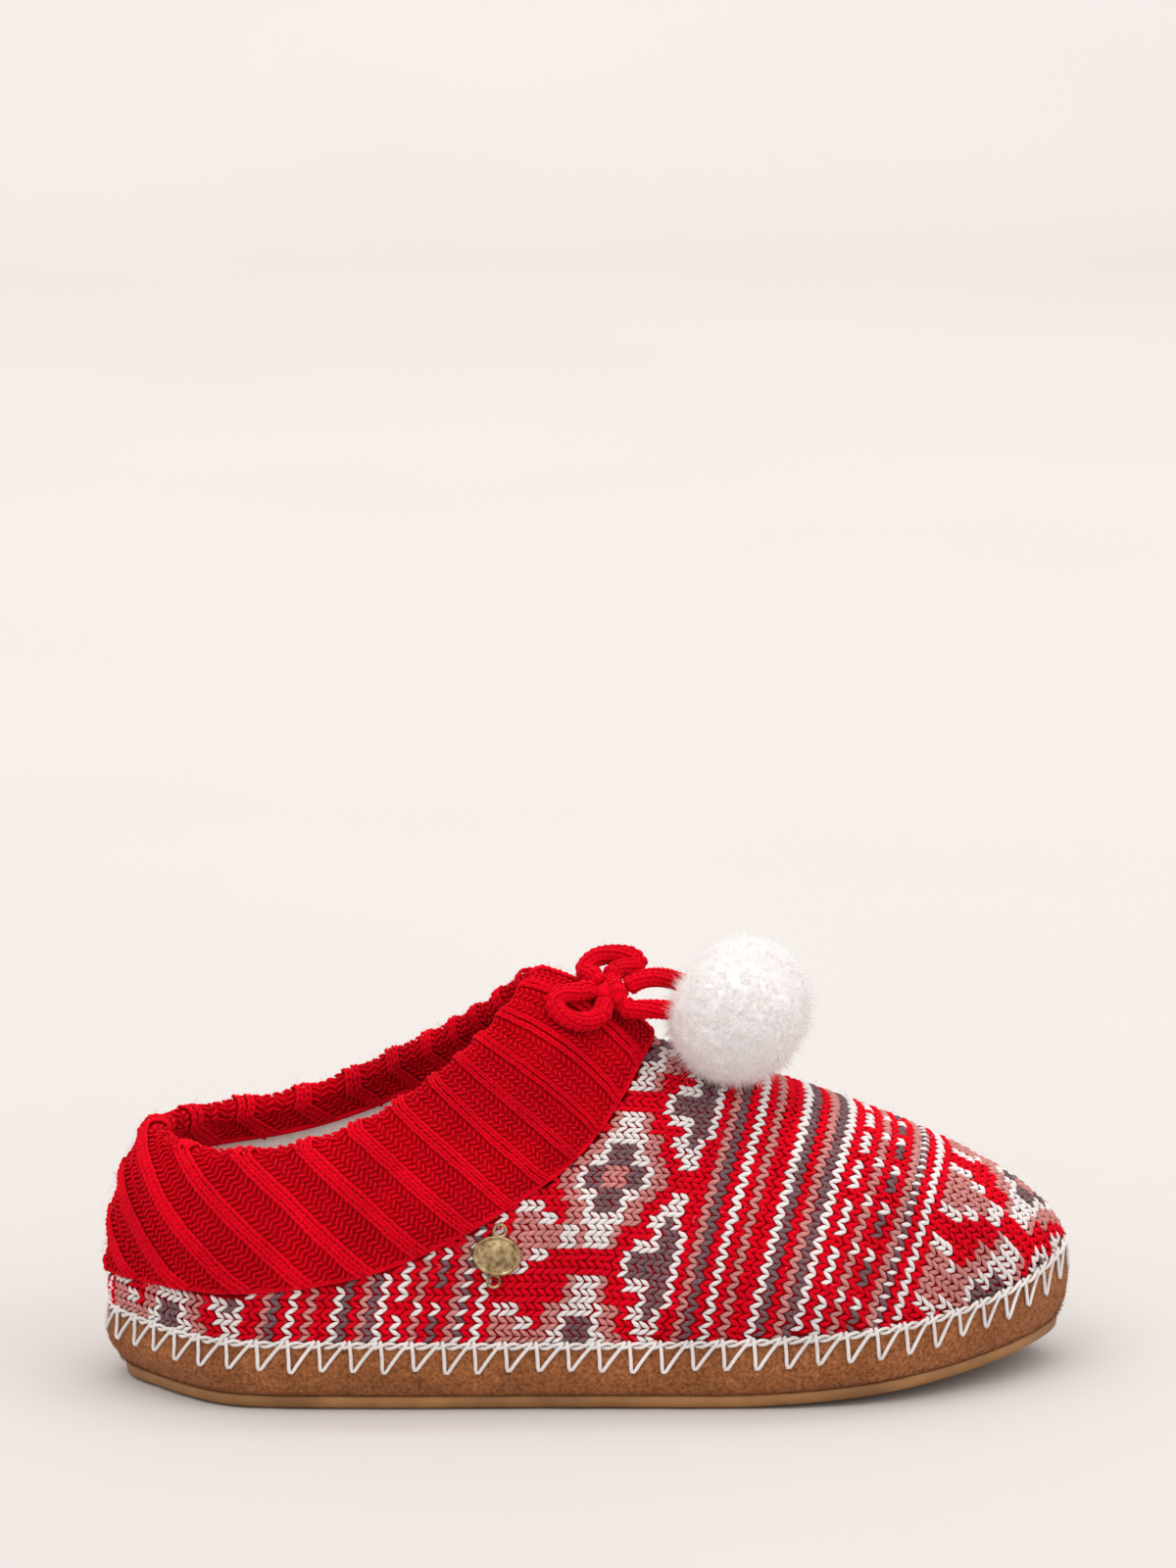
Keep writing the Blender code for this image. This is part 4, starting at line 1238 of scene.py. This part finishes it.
def whip_leg(start, end):
    """One thread from a knot down the suede, round its lowest point and up to the next knot."""
    drop = LEG_DROP * rng.uniform(0.93, 1.08)
    steps = [(0.00, -0.10), (0.03, 0.16), (0.06, 0.5), (0.07, 0.85), (0.11, 1.0), (0.20, 0.97)]
    steps += [(0.38, 0.72), (0.68, 0.34), (0.92, 0.06), (1.0, -0.08)]
    along, down = np.array(steps).T
    u = start + (end - start) * along
    seam, outward = sole_seam(u), sole_outward(u)
    tall = seam[:, 2] - (spring(seam[:, 0]) + RUBBER + GAP)
    rise = 1 - down * drop / tall
    path = suede(u, np.clip(rise, 0, 1))
    path[:, 2] += np.maximum(rise - 1, 0) * tall
    lift = THREAD * 0.32 + 0.0004 * np.exp(-(((along - 0.02) / 0.05) ** 2))
    path += outward * lift[:, None]
    path[[0, -1]] -= outward[[0, -1]] * 0.0006
    return tube(curve_through(path, 22), THREAD / 2 * rng.uniform(0.95, 1.05), 7)


# The bow and the pompoms


def knot_exit(direction):
    """Two steps from the knot's centre, square out of its surface, where a cord leaves it."""
    half = np.array(KNOT_SIZE) / 2
    d = np.array(direction)
    skin = d / np.sqrt(np.sum((d / half) ** 2))
    out = unit(skin / half**2)
    return skin + out * GAP, skin + out * (GAP + CORD * 0.45)


def resting_height(x, y, radius, surface):
    """The height at which a ball over (x, y) comes to rest on the surface's points."""
    away = np.hypot(surface[:, 0] - x, surface[:, 1] - y)
    under = surface[away < radius]
    return float(np.max(under[:, 2] + np.sqrt(radius**2 - away[away < radius] ** 2)))


def knitted_cord(path, thick=CORD * 1.12):
    """A knitted cord along a path, a soft core under columns of small stitches; its fuzz; and its middle line."""
    fine = curve_through(path, 60)
    core = tube(fine, thick * 0.45, 12)
    length = path_length(fine)
    columns, step = 6, 0.00155
    even = np.linspace(0, length, len(fine))
    places = np.arange(step * 0.5, length - step * 0.3, step)
    centre, way, right, up = (sampled(places, even, vectors) for vectors in (fine, *frames_along(fine)))
    wide = math.pi * thick / columns
    groups = [core]
    for start in circle_angles(columns):
        turn = start + 0.35 * places / thick
        out = unit(right * np.cos(turn)[:, None] + up * np.sin(turn)[:, None])
        across = unit(np.cross(way, out))
        sunk = centre + out * (thick * 0.46 - 0.0002)
        for hand in (1, -1):
            tails = sunk + way * step * 0.8 + across * hand * wide * 0.30
            heads = sunk - way * step * 0.8 + across * hand * wide * 0.09
            groups.append(leaves(tails, heads, out, wide * 0.25, 0.00034, 0.00028, sides=5))
    pick = rng.integers(0, len(places), CORD_HAIRS)
    turn = rng.uniform(0, 2 * math.pi, len(pick))
    out = unit(right[pick] * np.cos(turn)[:, None] + up[pick] * np.sin(turn)[:, None])
    fuzz = hairs(centre[pick] + out * thick * 0.48, out, 0.0018, 0.00004, 1.4, 1.2)
    return joined(groups), fuzz, fine


def make_knot(centre):
    """The knot: a short cord wound around the crossing, over a soft ball."""
    half = np.array(KNOT_SIZE) / 2
    turns = np.linspace(-0.15, 1.15, 40) * 2 * math.pi
    along = (np.sin(turns / 2) * 0.30 + turns / 9 * 0.35 - 0.12) * half[0]
    winding = [along, np.cos(turns) * (half[1] - CORD * 0.46), np.sin(turns) * (half[2] - CORD * 0.34)]
    wrap, _, _ = knitted_cord(centre + np.stack(winding, axis=1), CORD * 1.05)
    blob = ball(centre, half * (0.86, 0.80, 0.78), 4, 0.0003, 0.003)
    points, faces, yarn = joined([wrap, blob])
    return add_piece("knitted_knot", points, faces, RED, yarn, ["bow_knot"])


def ball(centre, radii, detail, lumps, lump_size):
    """A soft ball: points, faces and yarn vectors."""
    bpy.ops.mesh.primitive_ico_sphere_add(subdivisions=detail, radius=1.0)
    guide = bpy.context.object
    shape = np.array([tuple(v.co) for v in guide.data.vertices])
    faces = [list(p.vertices) for p in guide.data.polygons]
    bpy.data.objects.remove(guide)
    points = shape * radii + shape * (waves(shape * radii, lump_size) * lumps)[:, None]
    return points + centre, faces, points / 0.0016


def make_pompom(name, centre, replaced):
    """A pompom: a lumpy ball under a dense coat of fibres, with some longer ones."""
    base = ball(centre, np.full(3, POMPOM_RADIUS - 0.0014), 5, 0.00042, 0.0036)
    index = np.arange(POMPOM_HAIRS) + 0.5
    height = 1 - 2 * index / POMPOM_HAIRS
    level = np.sqrt(1 - height**2)
    turn = math.pi * (3 - math.sqrt(5)) * index  # by the golden angle, which spreads them evenly
    way = np.stack([level * np.cos(turn), level * np.sin(turn), height], axis=1)
    way = unit(way + rng.normal(0, 0.03, way.shape))
    roots = centre + way * (POMPOM_RADIUS - 0.0019 + waves(way, 0.25)[:, None] * 0.00036)
    fluff = hairs(roots, way, 0.0026, 0.000100, 1.0, 1.3)
    wisps = hairs(roots[::6], way[::6], 0.0036, 0.00006, 1.1, 1.6)
    points, faces, yarn = joined([base, fluff, wisps])
    return add_piece(name, points, faces, POMPOM_WHITE, yarn, replaced)


def add_cord(name, solid, route):
    """A knitted cord on its route, in the place of its solid. Gives its fuzz."""
    (points, faces, yarn), fuzz, path = knitted_cord(route)
    piece = add_piece(name, points, faces, RED, yarn, [solid])
    path = path + OFFSET
    return fuzz


def loop_route(knot, out, steps, back):
    """From inside the knot out along one direction, by the steps, and back in along another."""
    out, back = knot_exit(out), knot_exit(back)
    return np.array([knot + out[0] * 0.9, knot + out[1], *steps, knot + back[1], knot + back[0] * 0.9])


def make_bow():
    """The knot, its two loops, and the two ends with their pompoms, which rest on the shell and the cuff."""
    u = np.array([KNOT_SECTION])
    outward = cuff_outward(u, KNOT_SHARE)[0]
    knot = cuff_outside(u, KNOT_SHARE)[0] + outward * (KNOT_SIZE[2] / 2 + RIB_RELIEF + GAP)
    knot_piece = make_knot(knot)
    lying = []
    for section, share in NEAR_LOOP:
        place = np.array([section])
        lying.append(cuff_outside(place, share)[0] + cuff_outward(place, share)[0] * (CORD / 2 + 2 * GAP))
    near_route = loop_route(knot, NEAR_LOOP_OUT, lying, NEAR_LOOP_BACK)
    far_route = loop_route(knot, FAR_LOOP_OUT, knot + np.array(FAR_LOOP), FAR_LOOP_BACK)
    fuzz = [add_cord("cord_loop_near", "bow_loop_near", near_route)]
    fuzz.append(add_cord("cord_loop_far", "bow_loop_far", far_route))

    around = places_around(220)
    under = [shell(around, t) for t in np.linspace(0.4, 1, 40)]
    under = np.concatenate(under + [cuff_outside(around, t) for t in np.linspace(0, 0.6, 12)])
    ends = [
        ("near", NEAR_POMPOM_AT, NEAR_END_OUT, NEAR_END),
        ("far", FAR_POMPOM_AT, FAR_END_OUT, FAR_END),
    ]
    for side, at, direction, steps in ends:
        x, y = knot[0] + at[0], knot[1] + at[1]
        centre = np.array([x, y, resting_height(x, y, POMPOM_RADIUS + GAP, under)])
        pompom = make_pompom(f"yarn_pompom_{side}", centre, [f"pompom_{side}"])
        out = knot_exit(direction)
        route = knot + np.array([out[0] * 0.9, out[1], *steps])
        inside = route[-1] + (centre - route[-1]) * np.array([[0.35], [0.7], [1.0]])
        route = np.concatenate([route, inside])
        fuzz.append(add_cord(f"cord_end_{side}", f"bow_end_{side}", route))
    points, faces, yarn = joined(fuzz)
    add_piece("bow_fuzz", points, faces, RED, yarn)


# The brass plate


def make_charm():
    """A plain domed oval with a beaded edge, and a small ring at either end, each held by a stitch."""
    place = np.array([CHARM_SECTION])
    seat = shell(place, CHARM_SHARE)[0]
    out = outward_of(shell, place, CHARM_SHARE)[0]
    up = np.array((CHARM_TILT, 0, 1.0))
    up = unit(up - out * np.dot(up, out))
    across = np.cross(up, out)
    base = seat + out * CHARM_STAND
    sides = 72
    angles = circle_angles(sides)
    profile = [(0.86, 0.0), (0.98, 0.10), (1.0, 0.30), (0.985, 0.52), (0.95, 0.68), (0.90, 0.72)]
    profile += [(0.86, 0.64), (0.82, 0.58), (0.74, 0.66), (0.60, 0.82), (0.42, 0.93), (0.20, 0.99)]
    points = []
    for share, rise in profile:
        x = across * (np.cos(angles) * CHARM_WIDTH / 2 * share)[:, None]
        y = up * (np.sin(angles) * CHARM_HEIGHT / 2 * share)[:, None]
        dents = 0.00003 * np.sin(3 * angles + 9 * share)
        points.append(base + x + y + out * (rise * CHARM_THICKNESS + dents)[:, None])
    points = np.concatenate([*points, [base], [base + out * CHARM_THICKNESS]])
    faces = band_faces(len(profile), sides)
    faces += fan_faces(len(points) - 2, 0, len(points) - 1, (len(profile) - 1) * sides, sides)
    groups, stitches = [(points, faces, points)], []
    for side in (1, -1):
        reach = side * (CHARM_HEIGHT / 2 + RING_RADIUS * 0.80)
        turn = circle_angles(28)
        centre = base + up * reach + out * CHARM_THICKNESS * 0.45
        circle = centre + (across * np.cos(turn)[:, None] + up * np.sin(turn)[:, None]) * RING_RADIUS
        groups.append(tube(circle, RING_WIRE, 10, closed=True))
        stitch = np.linspace(-1, 1, 9)[:, None]
        hold = centre + up * side * RING_RADIUS * (0.9 + 0.5 * stitch) + out * (0.0009 * (1 - stitch**2) - 0.0008)
        stitches.append(tube(hold, 0.00032, 6))
    points, faces, _ = joined(groups)
    add_piece("brass_plate", points, faces, BRASS, replaced=["charm"])
    points, faces, yarn = joined(stitches)
    add_piece("plate_stitches", points, faces, RED, yarn)


# Floor, light and camera


def add_light(name, size, place, aim, energy, colour):
    data = bpy.data.lights.new(name, "AREA")
    data.shape = "RECTANGLE"
    data.size, data.size_y = size
    data.energy = energy
    data.color = colour
    lamp = bpy.data.objects.new(name, data)
    bpy.context.scene.collection.objects.link(lamp)
    lamp.location = place
    lamp.rotation_euler = (Vector(aim) - Vector(place)).to_track_quat("-Z", "Y").to_euler()


def make_stage():
    """A pale sweep that runs from the floor up behind the object."""
    width, depth, turn = 6.0, 2.2, 0.9
    profile = [(-4.0, 0.0), (depth, 0.0)]
    for i in range(1, 17):
        angle = math.pi / 2 * i / 16
        profile.append((depth + turn * math.sin(angle), turn * (1 - math.cos(angle))))
    profile.append((depth + turn, 4.0))
    points = [(side * width, y, z) for y, z in profile for side in (-1, 1)]
    faces = [(2 * i, 2 * i + 1, 2 * i + 3, 2 * i + 2) for i in range(len(profile) - 1)]
    mesh = bpy.data.meshes.new("sweep")
    mesh.from_pydata(points, [], faces)
    mesh.shade_smooth()
    floor = bpy.data.objects.new("sweep", mesh)
    bpy.context.scene.collection.objects.link(floor)
    paper, tree, shader = cleared("pale_paper")
    grain = noise(tree, place_on_object(tree), 3.0, 2.0)
    colour = ramp(tree, grain, [(0.3, (0.575, 0.548, 0.536)), (0.7, (0.588, 0.562, 0.548))])
    tree.links.new(colour, shader.inputs["Base Color"])
    set_values(shader, Roughness=1.0, Specular_IOR_Level=0.0)
    mesh.materials.append(paper)


def make_light():
    world = bpy.data.worlds.new("studio")
    bpy.context.scene.world = world
    world.use_nodes = True
    background = world.node_tree.nodes["Background"]
    background.inputs["Color"].default_value = (1.0, 0.985, 0.965, 1.0)
    background.inputs["Strength"].default_value = 0.98
    add_light("key", (1.6, 1.2), (-0.9, -1.1, 1.9), (0, 0, 0.04), 14.0, (1.0, 0.985, 0.96))
    add_light("fill", (1.8, 1.4), (1.5, -1.0, 1.3), (0, 0, 0.04), 11.0, (1.0, 0.98, 0.96))
    add_light("top", (1.4, 1.0), (0.4, 0.1, 2.0), (0, 0, 0.04), 6.0, (1.0, 0.99, 0.98))
    add_light("wash", (4.0, 1.5), (0.0, 1.0, 3.0), (0, 3.1, 1.6), 78.0, (1.0, 0.99, 0.98))


CAMERA_YAW = math.radians(3.2)
CAMERA_RISE = math.radians(15.0)
CAMERA_FAR = 2.0
PX_PER_METRE = 3790.0
TARGET = np.array([0.0, 0.0, 0.045])
TARGET_PX = (602.0, 1228.0)
IMAGE = (1200, 1600)


def make_camera():
    """The photograph's angle. The target point falls on its own pixel by tilting the camera, with no shift."""
    focal = PX_PER_METRE * CAMERA_FAR
    level = np.array([math.sin(CAMERA_YAW), math.cos(CAMERA_YAW), 0.0])
    right = np.array([math.cos(CAMERA_YAW), -math.sin(CAMERA_YAW), 0.0])
    ray = level * math.cos(CAMERA_RISE) - np.array([0, 0, math.sin(CAMERA_RISE)])
    place = TARGET - ray * CAMERA_FAR - right * (TARGET_PX[0] - IMAGE[0] / 2) / PX_PER_METRE
    pitch = CAMERA_RISE - math.atan((TARGET_PX[1] - IMAGE[1] / 2) / focal)
    ahead = level * math.cos(pitch) - np.array([0, 0, math.sin(pitch)])
    data = bpy.data.cameras.new("camera")
    data.sensor_fit = "VERTICAL"
    data.sensor_height = 24.0
    data.lens = focal / IMAGE[1] * data.sensor_height
    data.clip_end = 50.0
    camera = bpy.data.objects.new("camera", data)
    bpy.context.scene.collection.objects.link(camera)
    camera.location = place
    camera.rotation_euler = Vector(ahead).to_track_quat("-Z", "Y").to_euler()
    bpy.context.scene.camera = camera


make_camera()
make_bow()
make_outsole()
make_foxing()
make_insole()
make_ground()
shell_places, shell_normals, letters = make_jacquard()
cuff_places, cuff_normals = make_cuff()
make_fuzz(cuff_places, cuff_normals, shell_places, shell_normals, letters)
make_chain()
make_charm()
make_stage()
make_light()
bpy.context.scene.view_settings.view_transform = "Standard"
